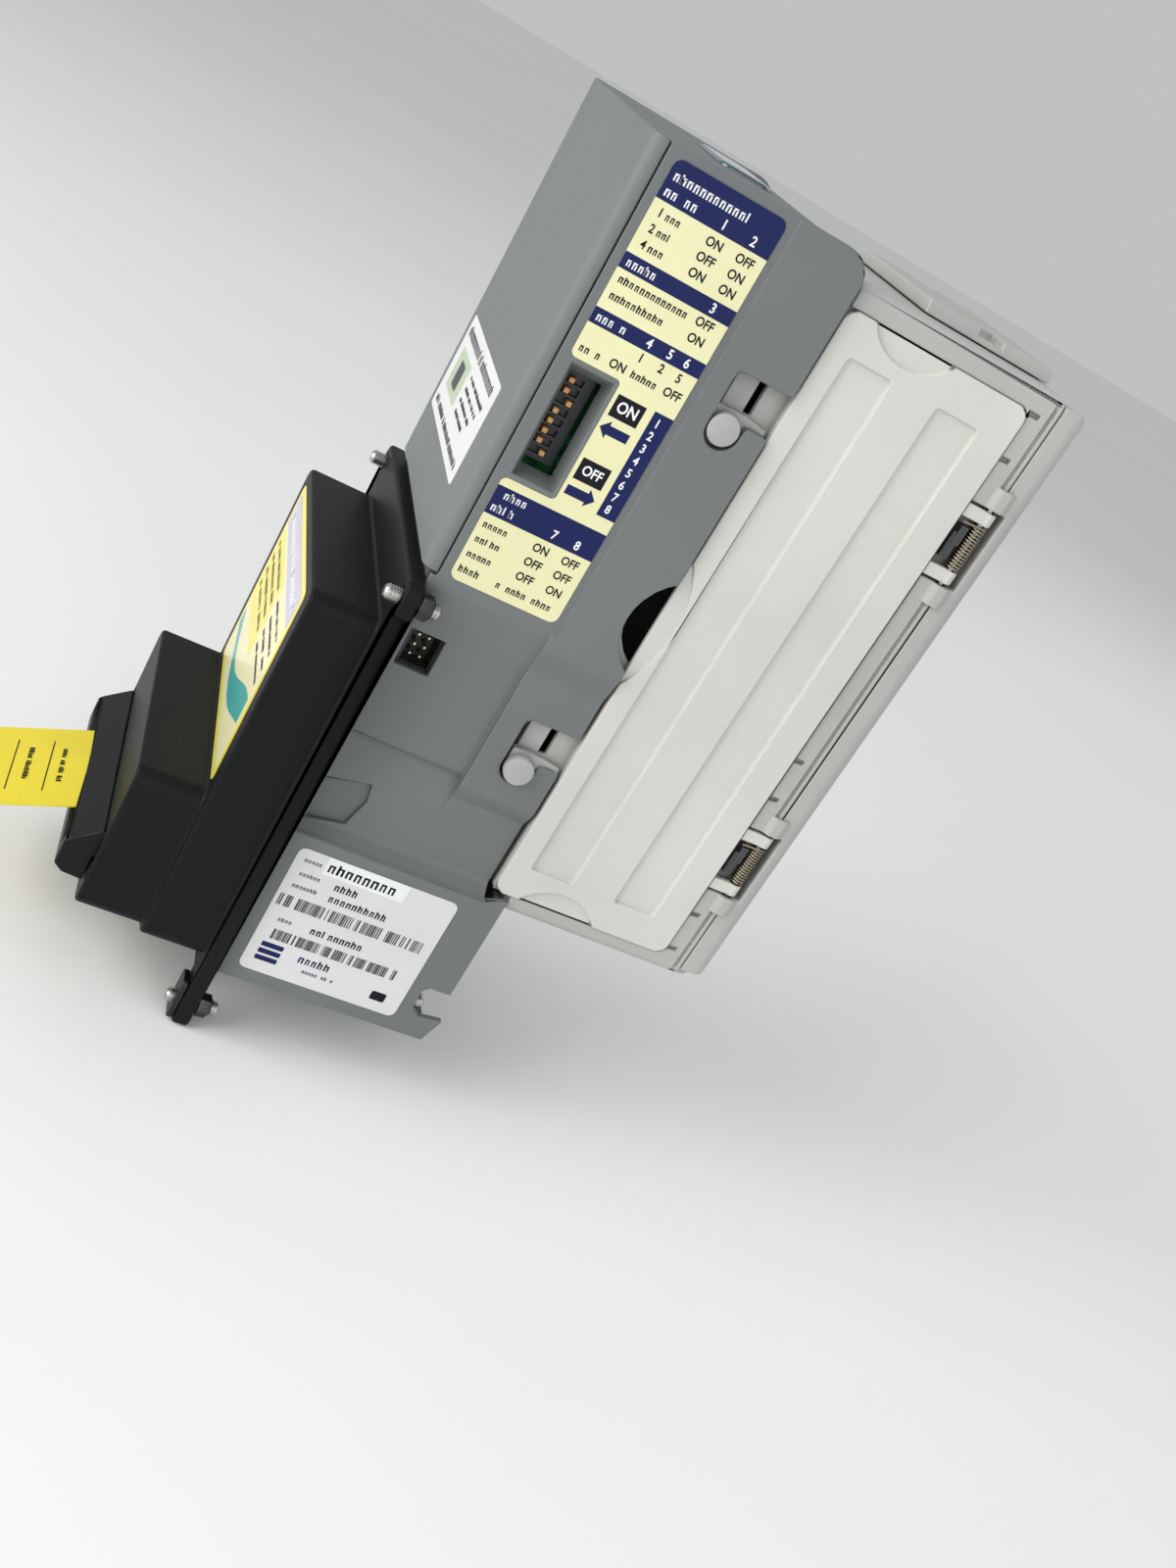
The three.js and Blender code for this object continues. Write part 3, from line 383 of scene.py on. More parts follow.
def finish_tree(tree, geometry, source, result):
    """Ends a geometry tree in Realize Instances and Set Material."""
    whole = put(tree, "GeometryNodeRealizeInstances", {"Geometry": geometry})
    made = put(tree, "GeometryNodeSetMaterial", {"Geometry": whole.outputs[0], "Material": source["Material"]})
    tree.links.new(made.outputs[0], result["Geometry"])
    return tree


def row_tree():
    """Copies of a unit in a straight row, with sizes that vary and gaps where copies are left out."""
    tree, source, result = new_tree("Row of copies", "GeometryNodeTree", [
        ("Unit", "Object"), ("Count", "Int", 8), ("Start", "Vector"), ("Step", "Vector"),
        ("Least", "Vector", (1, 1, 1)), ("Most", "Vector", (1, 1, 1)), ("Gaps", "Float", 0.0), ("Seed", "Int", 1),
        ("Material", "Material")], [("Geometry", "Geometry")])
    line = put(tree, "GeometryNodeMeshLine", {"Count": source["Count"], "Start Location": source["Start"],
                                              "Offset": source["Step"]}, mode="OFFSET")
    skip = put(tree, "FunctionNodeRandomValue", {"Probability": source["Gaps"], "Seed": source["Seed"]},
               data_type="BOOLEAN")
    kept = put(tree, "GeometryNodeDeleteGeometry", {"Geometry": line.outputs[0], "Selection": skip.outputs[3]})
    size = put(tree, "FunctionNodeRandomValue", {"Min": source["Least"], "Max": source["Most"],
                                                 "Seed": source["Seed"]}, data_type="FLOAT_VECTOR")
    unit = put(tree, "GeometryNodeObjectInfo", {"Object": source["Unit"]})
    copies = put(tree, "GeometryNodeInstanceOnPoints", {"Points": kept.outputs[0],
                                                        "Instance": unit.outputs["Geometry"],
                                                        "Scale": size.outputs[0]})
    return finish_tree(tree, copies.outputs[0], source, result)


def coil_tree():
    """A round wire wound into a coil about the Z axis."""
    tree, source, result = new_tree("Coil", "GeometryNodeTree", [
        ("Turns", "Float", 8.0), ("Radius", "Float", 0.002), ("Height", "Float", 0.01), ("Wire", "Float", 0.0002),
        ("Steps", "Int", 24), ("Sides", "Int", 8), ("Material", "Material")], [("Geometry", "Geometry")])
    spiral = put(tree, "GeometryNodeCurveSpiral", {
        "Resolution": source["Steps"], "Rotations": source["Turns"], "Start Radius": source["Radius"],
        "End Radius": source["Radius"], "Height": source["Height"]})
    section = put(tree, "GeometryNodeCurvePrimitiveCircle", {"Resolution": source["Sides"],
                                                             "Radius": source["Wire"]})
    wire = put(tree, "GeometryNodeCurveToMesh", {"Curve": spiral.outputs[0], "Profile Curve": section.outputs[0],
                                                 "Fill Caps": True})
    return finish_tree(tree, wire.outputs[0], source, result)


TREES = {"row": row_tree, "coil": coil_tree}
_built = {}


def built(kind, maker):
    """The node group or material of that kind, made once."""
    if kind not in _built:
        _built[kind] = maker()
    return _built[kind]


def grow(kind, **inputs):
    """The plain mesh, in metres, that a geometry tree makes from those inputs."""
    tree = built("tree " + kind, TREES[kind])
    host = bpy.data.objects.new("host", bpy.data.meshes.new("host"))
    bpy.context.scene.collection.objects.link(host)
    nodes = host.modifiers.new("Nodes", "NODES")
    nodes.node_group = tree
    names = {s.name: s.identifier for s in tree.interface.items_tree if s.in_out == "INPUT"}
    for name, value in inputs.items():
        nodes[names[name.replace("_", " ").capitalize()]] = value
    made = bpy.data.meshes.new_from_object(host.evaluated_get(bpy.context.evaluated_depsgraph_get()))
    bpy.data.objects.remove(host)
    made.materials.clear()
    return made


def unit_object(shape):
    """A helper object around a small shape that shape(bm) draws about the origin, in millimetres."""
    bm = bmesh.new()
    shape(bm)
    bmesh.ops.scale(bm, vec=(MM,) * 3, verts=bm.verts)
    mesh = bpy.data.meshes.new("unit")
    bm.to_mesh(mesh)
    bm.free()
    unit = bpy.data.objects.new("unit", mesh)
    bpy.context.scene.collection.objects.link(unit)
    return unit


def add_row(bm, shape, count, start, step, kind, least=(1, 1, 1), most=(1, 1, 1), gaps=0.0, seed=1):
    """Adds a row of copies of shape(bm) to the work, in that kind of finish."""
    unit = unit_object(shape)
    mesh = grow("row", unit=unit, count=count, start=[v * MM for v in start], step=[v * MM for v in step],
                least=least, most=most, gaps=gaps, seed=seed, material=finish(kind))
    bpy.data.objects.remove(unit)
    add_mesh(bm, mesh)


def greek(bm, place, length, height, thickness, seed, kind, axis, gaps):
    """A line of word-like marks that says nothing: small arches and strokes from place along the line."""
    put_flat = PLACE[axis]
    pitch = height * 0.74
    wide, bar = pitch * 0.36, pitch * 0.12
    low, top = -height / 2, height * 0.24

    def slab(work, u, v):
        box(work, *put_flat(u, v, (-thickness / 2, thickness / 2)))

    def arch(work):
        slab(work, (-wide, -wide + 2 * bar), (low, top))
        slab(work, (wide - 2 * bar, wide), (low, top - bar))
        slab(work, (-wide + 2 * bar, wide), (top - 2 * bar, top))

    def stem(work):
        slab(work, (-wide, -wide + 2 * bar), (low, height / 2))

    along = put_flat(pitch, 0, 0)
    count = max(2, round(length / pitch))
    add_row(bm, arch, count, place, along, kind, put_flat(0.82, 0.94, 1), put_flat(1.08, 1.04, 1), gaps, seed)
    add_row(bm, stem, count, place, along, kind, (1, 1, 0.9), (1, 1, 1), 0.66, seed + 3)


# ---------------------------------------------------------------- shader node groups

def object_coords(tree):
    return tree.nodes.new("ShaderNodeTexCoord").outputs["Object"]


def maths(tree, operation, *values, clamp=False):
    node = put(tree, "ShaderNodeMath", operation=operation, use_clamp=clamp)
    for socket, value in zip(node.inputs, values):
        if isinstance(value, bpy.types.NodeSocket):
            tree.links.new(value, socket)
        else:
            socket.default_value = value
    return node.outputs[0]


def remap(tree, value, low, high, to_low=0.0, to_high=1.0):
    return put(tree, "ShaderNodeMapRange", {"Value": value, "From Min": low, "From Max": high, "To Min": to_low,
                                            "To Max": to_high}).outputs[0]


def noise(tree, scale, detail=3.0, vector=None, roughness=0.55):
    return put(tree, "ShaderNodeTexNoise", {"Vector": vector or object_coords(tree), "Scale": scale,
                                            "Detail": detail, "Roughness": roughness}).outputs[0]


def patches(tree, scale, detail, low, high, to_low=0.0, to_high=1.0):
    """Noise whose values from low to high are spread from to_low to to_high."""
    return remap(tree, noise(tree, scale, detail), low, high, to_low, to_high)


def masked(tree, first, second, amount, result):
    """Ends an effect: the two masks together, times its amount."""
    both = maths(tree, "MULTIPLY", first, second)
    tree.links.new(maths(tree, "MULTIPLY", both, amount, clamp=True), result["Mask"])
    return tree


def edge_wear_and_highlight_group():
    """An edge mask for rubbed wear and painted edge highlight: high on edges, broken up by noise."""
    tree, source, result = new_tree("Edge wear and highlight", "ShaderNodeTree", [
        ("Width", "Float", 0.0006), ("Patch Scale", "Float", 160.0), ("Amount", "Float", 0.5)],
        [("Mask", "Float")])
    rounded = put(tree, "ShaderNodeBevel", {"Radius": source["Width"]}, samples=4)
    flat = tree.nodes.new("ShaderNodeNewGeometry").outputs["Normal"]
    facing = put(tree, "ShaderNodeVectorMath", {0: rounded.outputs[0], 1: flat}, operation="DOT_PRODUCT")
    edge = remap(tree, facing.outputs["Value"], 0.995, 0.86)
    return masked(tree, edge, patches(tree, source["Patch Scale"], 4.0, 0.42, 0.62), source["Amount"], result)


def moulded_group():
    """The skin of an injection moulding: a fine even grain and slow changes of tone."""
    tree, source, result = new_tree("Moulded skin", "ShaderNodeTree", [
        ("Grain Scale", "Float", 2600.0), ("Tone Scale", "Float", 18.0)],
        [("Grain", "Float"), ("Tone", "Float")])
    pits = put(tree, "ShaderNodeTexVoronoi", {"Vector": object_coords(tree), "Scale": source["Grain Scale"]})
    fine = noise(tree, source["Grain Scale"], 2.0)
    tree.links.new(maths(tree, "MULTIPLY_ADD", pits.outputs["Distance"], 0.6, fine), result["Grain"])
    tree.links.new(noise(tree, source["Tone Scale"], 3.0), result["Tone"])
    return tree


def scuff_group():
    """Hairline scratches in two directions, thinned out by noise."""
    tree, source, result = new_tree("Scuffs", "ShaderNodeTree", [
        ("Scale", "Float", 70.0), ("Amount", "Float", 0.5)], [("Mask", "Float")])
    found = []
    for turn in ((0.5, 0.2, 0.3), (1.4, 0.9, 1.9)):
        mapped = put(tree, "ShaderNodeMapping", {"Vector": object_coords(tree), "Rotation": turn,
                                                 "Scale": (1.0, 26.0, 26.0)})
        lines = noise(tree, source["Scale"], 2.0, mapped.outputs[0], 0.7)
        found.append(remap(tree, lines, 0.665, 0.7))
    both = maths(tree, "MAXIMUM", *found)
    return masked(tree, both, patches(tree, 22.0, 2.0, 0.46, 0.62), source["Amount"], result)


def hollow_shade_group():
    """Painted shade in inner corners and recesses, found by ambient occlusion and broken up by noise."""
    tree, source, result = new_tree("Painted hollow shade", "ShaderNodeTree", [
        ("Reach", "Float", 0.004), ("Amount", "Float", 0.5)], [("Mask", "Float")])
    hollow = put(tree, "ShaderNodeAmbientOcclusion", {"Distance": source["Reach"]}, samples=4)
    deep = remap(tree, hollow.outputs["AO"], 0.9, 0.35)
    return masked(tree, deep, patches(tree, 130.0, 4.0, 0.3, 0.7, 0.35, 1.0), source["Amount"], result)


def brushed_group():
    """Fine lines along one axis, as on drawn or brushed metal."""
    tree, source, result = new_tree("Brushed", "ShaderNodeTree", [
        ("Stretch", "Vector", (1, 60, 60)), ("Scale", "Float", 60.0)], [("Lines", "Float")])
    mapped = put(tree, "ShaderNodeMapping", {"Vector": object_coords(tree), "Scale": source["Stretch"]})
    tree.links.new(noise(tree, source["Scale"], 4.0, mapped.outputs[0], 0.65), result["Lines"])
    return tree


GROUPS = {"wear_and_highlight": edge_wear_and_highlight_group, "skin": moulded_group, "scuffs": scuff_group, "hollow_shade": hollow_shade_group,
          "brushed": brushed_group}


def effect(tree, kind, **values):
    """Places a shared effect in a material and returns its outputs."""
    node = tree.nodes.new("ShaderNodeGroup")
    node.node_tree = built("group " + kind, GROUPS[kind])
    for name, value in values.items():
        node.inputs[name.replace("_", " ").title()].default_value = value
    return node.outputs


def blend(tree, share, first, second):
    """Mixes two colours; each may be a plain colour or another node's output."""
    node = put(tree, "ShaderNodeMix", data_type="RGBA")
    for socket, value in zip((node.inputs[0], node.inputs[6], node.inputs[7]), (share, first, second)):
        if isinstance(value, bpy.types.NodeSocket):
            tree.links.new(value, socket)
        else:
            socket.default_value = (*value, 1.0) if hasattr(value, "__len__") else value
    return node.outputs[2]


def new_material(name, **plain):
    """A material with its shader, whose all-over numbers are set on the shader itself."""
    material = bpy.data.materials.new(name)
    material.use_nodes = True
    tree = material.node_tree
    shader = tree.nodes["Principled BSDF"]
    for key, value in plain.items():
        shader.inputs[key.replace("_", " ").title().replace("Ior", "IOR")].default_value = value
    return material, tree, shader


def paint(tree, shader, tint, rough, height=None, depth=0.0, strength=0.5):
    """Feeds the shader its colour and roughness, and its bumps where a height is given."""
    tree.links.new(tint, shader.inputs["Base Color"])
    tree.links.new(rough, shader.inputs["Roughness"])
    if height is not None:
        node = put(tree, "ShaderNodeBump", {"Height": height, "Distance": depth, "Strength": strength})
        tree.links.new(node.outputs[0], shader.inputs["Normal"])


def shade(tint, factor):
    return tuple(min(1.0, c * factor) for c in tint)


def moulding(name, tint, rough=0.5, grain=2600.0, depth=1e-5, wear_and_highlight=0.5, wear_and_highlight_tint=None, hollow_shade=0.5,
             hollow_shade_tint=(0.05, 0.045, 0.035), scuffs=0.4, sheen=0.5):
    """Moulded plastic with grain, slow tone changes, lighter edges that are part rubbed wear and part painted
    highlight, scratches, and painted shade in the corners.
    """
    material, tree, shader = new_material(name, specular_ior_level=sheen)
    skin = effect(tree, "skin", grain_scale=grain)
    # Edge mask: edges are lightened, part rubbed wear and part painted highlight.
    edge_mask = effect(tree, "wear_and_highlight", amount=wear_and_highlight)["Mask"]
    scratched = effect(tree, "scuffs", amount=scuffs)["Mask"]
    # Corner mask from ambient occlusion: it darkens inner corners and recesses towards the dark tint, which is
    # painted shade.
    shaded_hollows = effect(tree, "hollow_shade", amount=hollow_shade)["Mask"]
    tone = remap(tree, skin["Tone"], 0.3, 0.7)
    base = blend(tree, tone, shade(tint, 0.93), shade(tint, 1.06))
    speckled = blend(tree, remap(tree, skin["Grain"], 0.4, 1.1, 0.0, 0.12), base, shade(tint, 0.7))
    worn_and_lit = blend(tree, edge_mask, speckled, wear_and_highlight_tint or shade(tint, 1.5))
    lined = blend(tree, maths(tree, "MULTIPLY", scratched, 0.35), worn_and_lit, wear_and_highlight_tint or shade(tint, 1.35))
    uneven = maths(tree, "MULTIPLY_ADD", skin["Grain"], 0.14, rough - 0.08)
    paint(tree, shader, blend(tree, shaded_hollows, lined, hollow_shade_tint),
          maths(tree, "MULTIPLY_ADD", edge_mask, -0.12, uneven, clamp=True),
          maths(tree, "MULTIPLY_ADD", scratched, -0.5, skin["Grain"]), depth)
    return material


def metal(name, tint, rough=0.3, stretch=(1, 60, 60), amount=0.25):
    """Drawn or plated metal with brushed lines, a little tarnish, and painted shade in its hollows."""
    material, tree, shader = new_material(name, metallic=1.0)
    lines = effect(tree, "brushed", stretch=stretch)["Lines"]
    spots = maths(tree, "MULTIPLY", patches(tree, 240.0, 5.0, 0.52, 0.7), amount)
    toned = blend(tree, remap(tree, lines, 0.3, 0.7), shade(tint, 0.82), shade(tint, 1.1))
    # Ambient occlusion mask: painted shade in the hollows, drawn in the same brown as the tarnish spots.
    shaded_hollows = effect(tree, "hollow_shade", amount=0.6, reach=0.002)["Mask"]
    tarnish_and_hollow_shade = blend(tree, maths(tree, "MAXIMUM", spots, shaded_hollows), toned, (0.25, 0.2, 0.14))
    paint(tree, shader, tarnish_and_hollow_shade, maths(tree, "MULTIPLY_ADD", lines, 0.25, rough - 0.1, clamp=True),
          lines, 4e-6, 0.4)
    return material


def stock(name, tint, rough=0.35, coat=0.0, soil=0.25, sheen=0.4):
    """Printed film or paper: faint fibres, slow toning and a little soil."""
    material, tree, shader = new_material(name, coat_weight=coat, coat_roughness=0.2, specular_ior_level=sheen)
    fibres = noise(tree, 900.0, 4.0)
    tone = patches(tree, 30.0, 3.0, 0.35, 0.65)
    base = blend(tree, tone, shade(tint, 0.96), shade(tint, 1.03))
    marks = effect(tree, "scuffs", amount=soil)["Mask"]
    edge_mask = effect(tree, "wear_and_highlight", width=0.0003, amount=soil)["Mask"]
    flecked = blend(tree, remap(tree, fibres, 0.35, 0.75, 0.0, 0.08), base, shade(tint, 0.75))
    soiled = blend(tree, maths(tree, "MAXIMUM", marks, edge_mask), flecked, shade(tint, 0.6))
    paint(tree, shader, soiled, maths(tree, "MULTIPLY_ADD", fibres, 0.15, rough - 0.07, clamp=True),
          fibres, 4e-6, 0.4)
    return material


def rubber_material():
    """Dusty black rubber."""
    material, tree, shader = new_material("rubber", specular_ior_level=0.35)
    fine = noise(tree, 1800.0, 3.0)
    dusty = patches(tree, 60.0, 4.0, 0.45, 0.75, 0.0, 0.35)
    paint(tree, shader, blend(tree, dusty, colours().rubber, (0.09, 0.085, 0.08)),
          remap(tree, fine, 0.3, 0.7, 0.68, 0.9), fine, 2e-5, 0.6)
    return material


def board_material():
    """Solder mask over copper tracks: straight tracks show through as a lighter green."""
    material, tree, shader = new_material("circuit_board", coat_weight=0.5, coat_roughness=0.15)
    tint = colours().board
    cells = put(tree, "ShaderNodeTexBrick", {"Vector": put(tree, "ShaderNodeMapping", {
        "Vector": object_coords(tree), "Rotation": (0, math.pi / 2, 0)}).outputs[0], "Scale": 90.0,
        "Mortar Size": 0.09, "Mortar Smooth": 0.0, "Bias": 0.0, "Color1": (0, 0, 0, 1), "Color2": (0, 0, 0, 1),
        "Mortar": (1, 1, 1, 1)})
    tracks = maths(tree, "MULTIPLY", cells.outputs["Color"], patches(tree, 120.0, 1.0, 0.5, 0.52))
    paint(tree, shader, blend(tree, tracks, tint, shade(tint, 2.3)),
          patches(tree, 200.0, 3.0, 0.3, 0.7, 0.28, 0.42), tracks, 3e-5)
    return material


def winding_material():
    """Enamelled copper under a thin varnish, with the turns of wire as ridges and painted shade in the valleys
    between them.
    """
    material, tree, shader = new_material("coil_wrap", metallic=0.35, coat_weight=0.3, coat_roughness=0.2)
    turns = put(tree, "ShaderNodeTexWave", {"Vector": object_coords(tree), "Scale": 420.0, "Distortion": 0.4,
                                            "Detail": 1.0}, bands_direction="Z").outputs["Fac"]
    base = blend(tree, patches(tree, 90.0, 3.0, 0.35, 0.65), (0.30, 0.12, 0.035), (0.45, 0.19, 0.06))
    # The dark brown between the wave bands is painted shade in the valleys between turns.
    paint(tree, shader, blend(tree, turns, (0.10, 0.035, 0.012), base), remap(tree, turns, 0, 1, 0.5, 0.3),
          turns, 1.2e-4, 0.8)
    return material


def lens_material():
    """Dark tinted plastic with a polished, lightly scratched face."""
    material, tree, shader = new_material("lens", ior=1.49, coat_weight=0.8, coat_roughness=0.03)
    tint = blend(tree, patches(tree, 45.0, 2.0, 0.3, 0.7), (0.035, 0.075, 0.08), (0.06, 0.11, 0.115))
    paint(tree, shader, tint, remap(tree, effect(tree, "scuffs", amount=0.8)["Mask"], 0, 1, 0.08, 0.4))
    return material


def floor_material():
    """Matt studio floor with the faintest change of tone."""
    material, tree, shader = new_material("floor", specular_ior_level=0.2)
    tint = colours().floor
    paint(tree, shader, blend(tree, patches(tree, 3.0, 4.0, 0.35, 0.65), shade(tint, 0.97), tint),
          patches(tree, 400.0, 3.0, 0.3, 0.7, 0.75, 0.9))
    return material


def strip_material():
    """Glossy yellow film."""
    tint = colours().strip
    material, tree, shader = new_material("strip_yellow", coat_weight=0.35, coat_roughness=0.2)
    base = blend(tree, patches(tree, 40.0, 3.0, 0.35, 0.65), shade(tint, 0.94), shade(tint, 1.05))
    marks = effect(tree, "scuffs", amount=0.35)["Mask"]
    paint(tree, shader, blend(tree, marks, base, shade(tint, 0.7)),
          patches(tree, 500.0, 3.0, 0.3, 0.7, 0.32, 0.46))
    return material


# In each moulding below, the dark corner tint is painted shade in corners and recesses, and the light edge tint is
# part wear and part painted highlight.
MATERIALS = {
    "housing": lambda: moulding("housing_grey", colours().housing, 0.5, wear_and_highlight=0.35, hollow_shade=0.35, scuffs=0.3),
    "cassette": lambda: moulding("cassette_grey", colours().cassette, 0.5, wear_and_highlight=0.2, hollow_shade=0.45, scuffs=0.3,
                                 wear_and_highlight_tint=shade(colours().cassette, 1.25)),
    "door": lambda: moulding("door_white", colours().door, 0.5, wear_and_highlight=0.25, hollow_shade=0.5, scuffs=0.25,
                             wear_and_highlight_tint=shade(colours().door, 1.15), hollow_shade_tint=(0.28, 0.23, 0.14)),
    "stud": lambda: moulding("stud_light", colours().stud, 0.45, wear_and_highlight=0.3, hollow_shade=0.4,
                             wear_and_highlight_tint=shade(colours().stud, 1.3)),
    "bezel": lambda: moulding("bezel_black", colours().bezel, 0.44, grain=1500.0, depth=3e-5, wear_and_highlight=0.35,
                              wear_and_highlight_tint=(0.12, 0.125, 0.13), hollow_shade=0.2, hollow_shade_tint=(0.04, 0.04, 0.035), scuffs=0.3,
                              sheen=0.12),
    "nose": lambda: moulding("nose_black", colours().bezel, 0.38, grain=1500.0, depth=3e-5, wear_and_highlight=0.4,
                             wear_and_highlight_tint=(0.12, 0.125, 0.13), hollow_shade=0.2, hollow_shade_tint=(0.04, 0.04, 0.035), scuffs=0.4,
                             sheen=0.15),
    "gear": lambda: moulding("gear_plastic", colours().gear, 0.45, wear_and_highlight=0.2, hollow_shade=0.7,
                             wear_and_highlight_tint=shade(colours().gear, 1.2)),
    "dark": lambda: moulding("connector_black", (0.012, 0.012, 0.013), 0.42, wear_and_highlight=0.3, wear_and_highlight_tint=(0.1, 0.1, 0.1)),
    "switch": lambda: moulding("switch_blue", (0.012, 0.014, 0.02), 0.4, wear_and_highlight=0.3, wear_and_highlight_tint=(0.1, 0.1, 0.12)),
    "lever": lambda: moulding("lever_cream", (0.80, 0.42, 0.14), 0.4, wear_and_highlight=0.3, wear_and_highlight_tint=(0.9, 0.75, 0.5)),
    "plate": lambda: moulding("plate_dark", (0.045, 0.05, 0.056), 0.5, wear_and_highlight=0.5, wear_and_highlight_tint=(0.2, 0.2, 0.2)),
    "steel": lambda: metal("steel", (0.55, 0.55, 0.54), 0.32),
    "dark steel": lambda: metal("dark_steel", (0.06, 0.06, 0.065), 0.35, amount=0.1),
    "zinc": lambda: metal("zinc_plate", (0.62, 0.62, 0.60), 0.3, stretch=(40, 40, 1)),
    "blackened": lambda: metal("blackened_steel", (0.05, 0.05, 0.052), 0.4, amount=0.2),
    "spring": lambda: metal("spring_wire", (0.42, 0.36, 0.26), 0.35, amount=0.4),
    "iron": lambda: metal("lamination_iron", (0.30, 0.31, 0.33), 0.45, stretch=(1, 60, 1), amount=0.4),
    "tin": lambda: metal("tinned_pin", (0.70, 0.62, 0.42), 0.25),
    "cream": lambda: stock("label_cream", colours().cream, 0.34, coat=0.25),
    "navy": lambda: stock("ink_navy", colours().navy, 0.42, soil=0.1, sheen=0.2),
    "ink": lambda: stock("ink_black", (0.008, 0.008, 0.012), 0.45, soil=0.1, sheen=0.15),
    "white": lambda: stock("ink_white", (0.82, 0.83, 0.84), 0.36, soil=0.1),
    "paper": lambda: stock("paper_white", colours().paper, 0.42, coat=0.15),
    "grey ink": lambda: stock("ink_grey", (0.06, 0.06, 0.07), 0.45, soil=0.1, sheen=0.2),
    "yellow print": lambda: stock("print_yellow", (0.80, 0.70, 0.10), 0.35, coat=0.3),
    "teal print": lambda: stock("print_teal", (0.05, 0.36, 0.34), 0.35, coat=0.3),
    "lilac print": lambda: stock("print_lilac", (0.50, 0.48, 0.58), 0.35, coat=0.3),
    "green print": lambda: stock("print_green", (0.42, 0.50, 0.36), 0.45),
    "strip": strip_material,
    "rubber": rubber_material,
    "board": board_material,
    "winding": winding_material,
    "lens": lens_material,
    "floor": floor_material,
}


def finish(kind):
    """The material of that kind."""
    return built("material " + kind, MATERIALS[kind])


# ---------------------------------------------------------------- operators

class BuildOperator:
    """What every operator here shares."""

    bl_options = {"REGISTER", "UNDO"}

    def execute(self, context):
        self.build(context)
        return {"FINISHED"}


class VALIDATOR_OT_stage(BuildOperator, bpy.types.Operator):
    """Lay the floor, hang the soft lights and place the camera"""

    bl_idname = "validator.stage"
    bl_label = "Stage"

    def build(self, context):
        scene = context.scene
        centre = (CAD_BOX[0] + CAD_BOX[1]) / 2
        bm = bmesh.new()
        reach, level = 8.0, CAD_BOX[0].z
        bmesh.ops.create_grid(bm, x_segments=4, y_segments=4, size=reach)
        bmesh.ops.translate(bm, vec=(0, 0, level), verts=bm.verts)
        mesh = bpy.data.meshes.new("floor")
        bm.to_mesh(mesh)
        bm.free()
        mesh.materials.append(finish("floor"))
        floor = bpy.data.objects.new("floor", mesh)
        scene.collection.objects.link(floor)

        def soft_light(name, direction, distance, size, power, tint):
            light = bpy.data.lights.new(name, "AREA")
            light.shape, light.size, light.energy, light.color = "DISK", size, power, tint
            lamp = bpy.data.objects.new(name, light)
            scene.collection.objects.link(lamp)
            towards = Vector(direction).normalized()
            lamp.location = centre + towards * distance
            lamp.rotation_euler = (-towards).to_track_quat("-Z", "Y").to_euler()

        soft_light("key", (0.28, -0.85, 0.42), 1.3, 1.2, sizes().key_light, (1.0, 0.99, 0.97))
        soft_light("fill", (0.95, 0.05, 0.30), 1.3, 1.2, sizes().fill_light, (0.97, 0.985, 1.0))
        soft_light("back", (-0.4, 0.85, 0.6), 1.5, 1.2, sizes().fill_light * 0.6, (0.97, 0.98, 1.0))

        world = bpy.data.worlds.new("studio")
        world.use_nodes = True
        world.node_tree.nodes["Background"].inputs["Color"].default_value = (0.87, 0.89, 0.91, 1)
        world.node_tree.nodes["Background"].inputs["Strength"].default_value = sizes().sky
        scene.world = world
        scene.view_settings.view_transform = "Standard"

        lens = bpy.data.cameras.new("camera")
        lens.lens, lens.sensor_width = 36.96, 36.0
        lens.clip_start, lens.clip_end = 0.02, 20.0
        camera = bpy.data.objects.new("camera", lens)
        scene.collection.objects.link(camera)
        camera.location = (0.38374, -0.11451, 0.24336)
        camera.rotation_euler = Euler([math.radians(a) for a in (63.9605, -29.2197, 80.3802)])
        scene.camera = camera


def housing_rounding(small, ramp, corner):
    """Shares of the rounding: wide corners round the stud mouths, soft ramps, small everywhere else."""
    mouths = [(y, z - lower) for y, z in ((17.5, 185), (23.5, 185), (23.5, 195.5), (8.9, 195.5))
              for lower in (0, 97)]

    def weigh(edge):
        angle = math.degrees(edge.calc_face_angle(0))
        a, b = (v.co / MM for v in edge.verts)
        along = (b - a).normalized()
        middle = (a + b) / 2
        if abs(along.x) > 0.9 and any(math.hypot(middle.y - y, middle.z - z) < 0.4 for y, z in mouths):
            return 1.0
        beside_cut = abs(middle.z - 107.5) < 0.4 or abs(middle.z - 64.5) < 0.4
        if min(a.x, b.x) > 36.3 and abs(a.x - b.x) < 0.02 and 6 < angle < 62 and not beside_cut:
            return ramp / corner
        return small / corner if angle > 28 else 0.0
    return weigh


class VALIDATOR_OT_housing(BuildOperator, bpy.types.Operator):
    """Mould the housing and the front cover"""

    bl_idname = "validator.housing"
    bl_label = "Housing and cover"

    def build(self, context):
        s = sizes()
        piece("housing_shell", copy_of("housing", convex=True), "validator", "housing_grey", "housing",
              ["housing"], edge=s.mouth_corner, steps=3,
              weigh=housing_rounding(s.housing_edge, s.ramp_edge, s.mouth_corner))
        remade("cover_shell", "front_cover", "validator", "housing_grey", "housing",
               edge=s.housing_edge * 1.4, steps=3)


class VALIDATOR_OT_bezel(BuildOperator, bpy.types.Operator):
    """Mould the stepped bezel and the entry nose"""

    bl_idname = "validator.bezel"
    bl_label = "Bezel and nose"

    def build(self, context):
        s = sizes()
        cuts = [("z", mid(span(f"mount_stud_{level}_near")[2])) for level in ("upper", "lower")]
        remade("bezel_shell", "bezel_mask", "validator", "bezel_black", "bezel", [("x", 0.0), *cuts],
               edge=s.bezel_edge, steps=3, sharp=32)
        remade("nose_shell", "entry_nose", "validator", "nose_black", "nose", [("x", 0.0)],
               edge=s.bezel_edge * 0.6, steps=3, sharp=20)


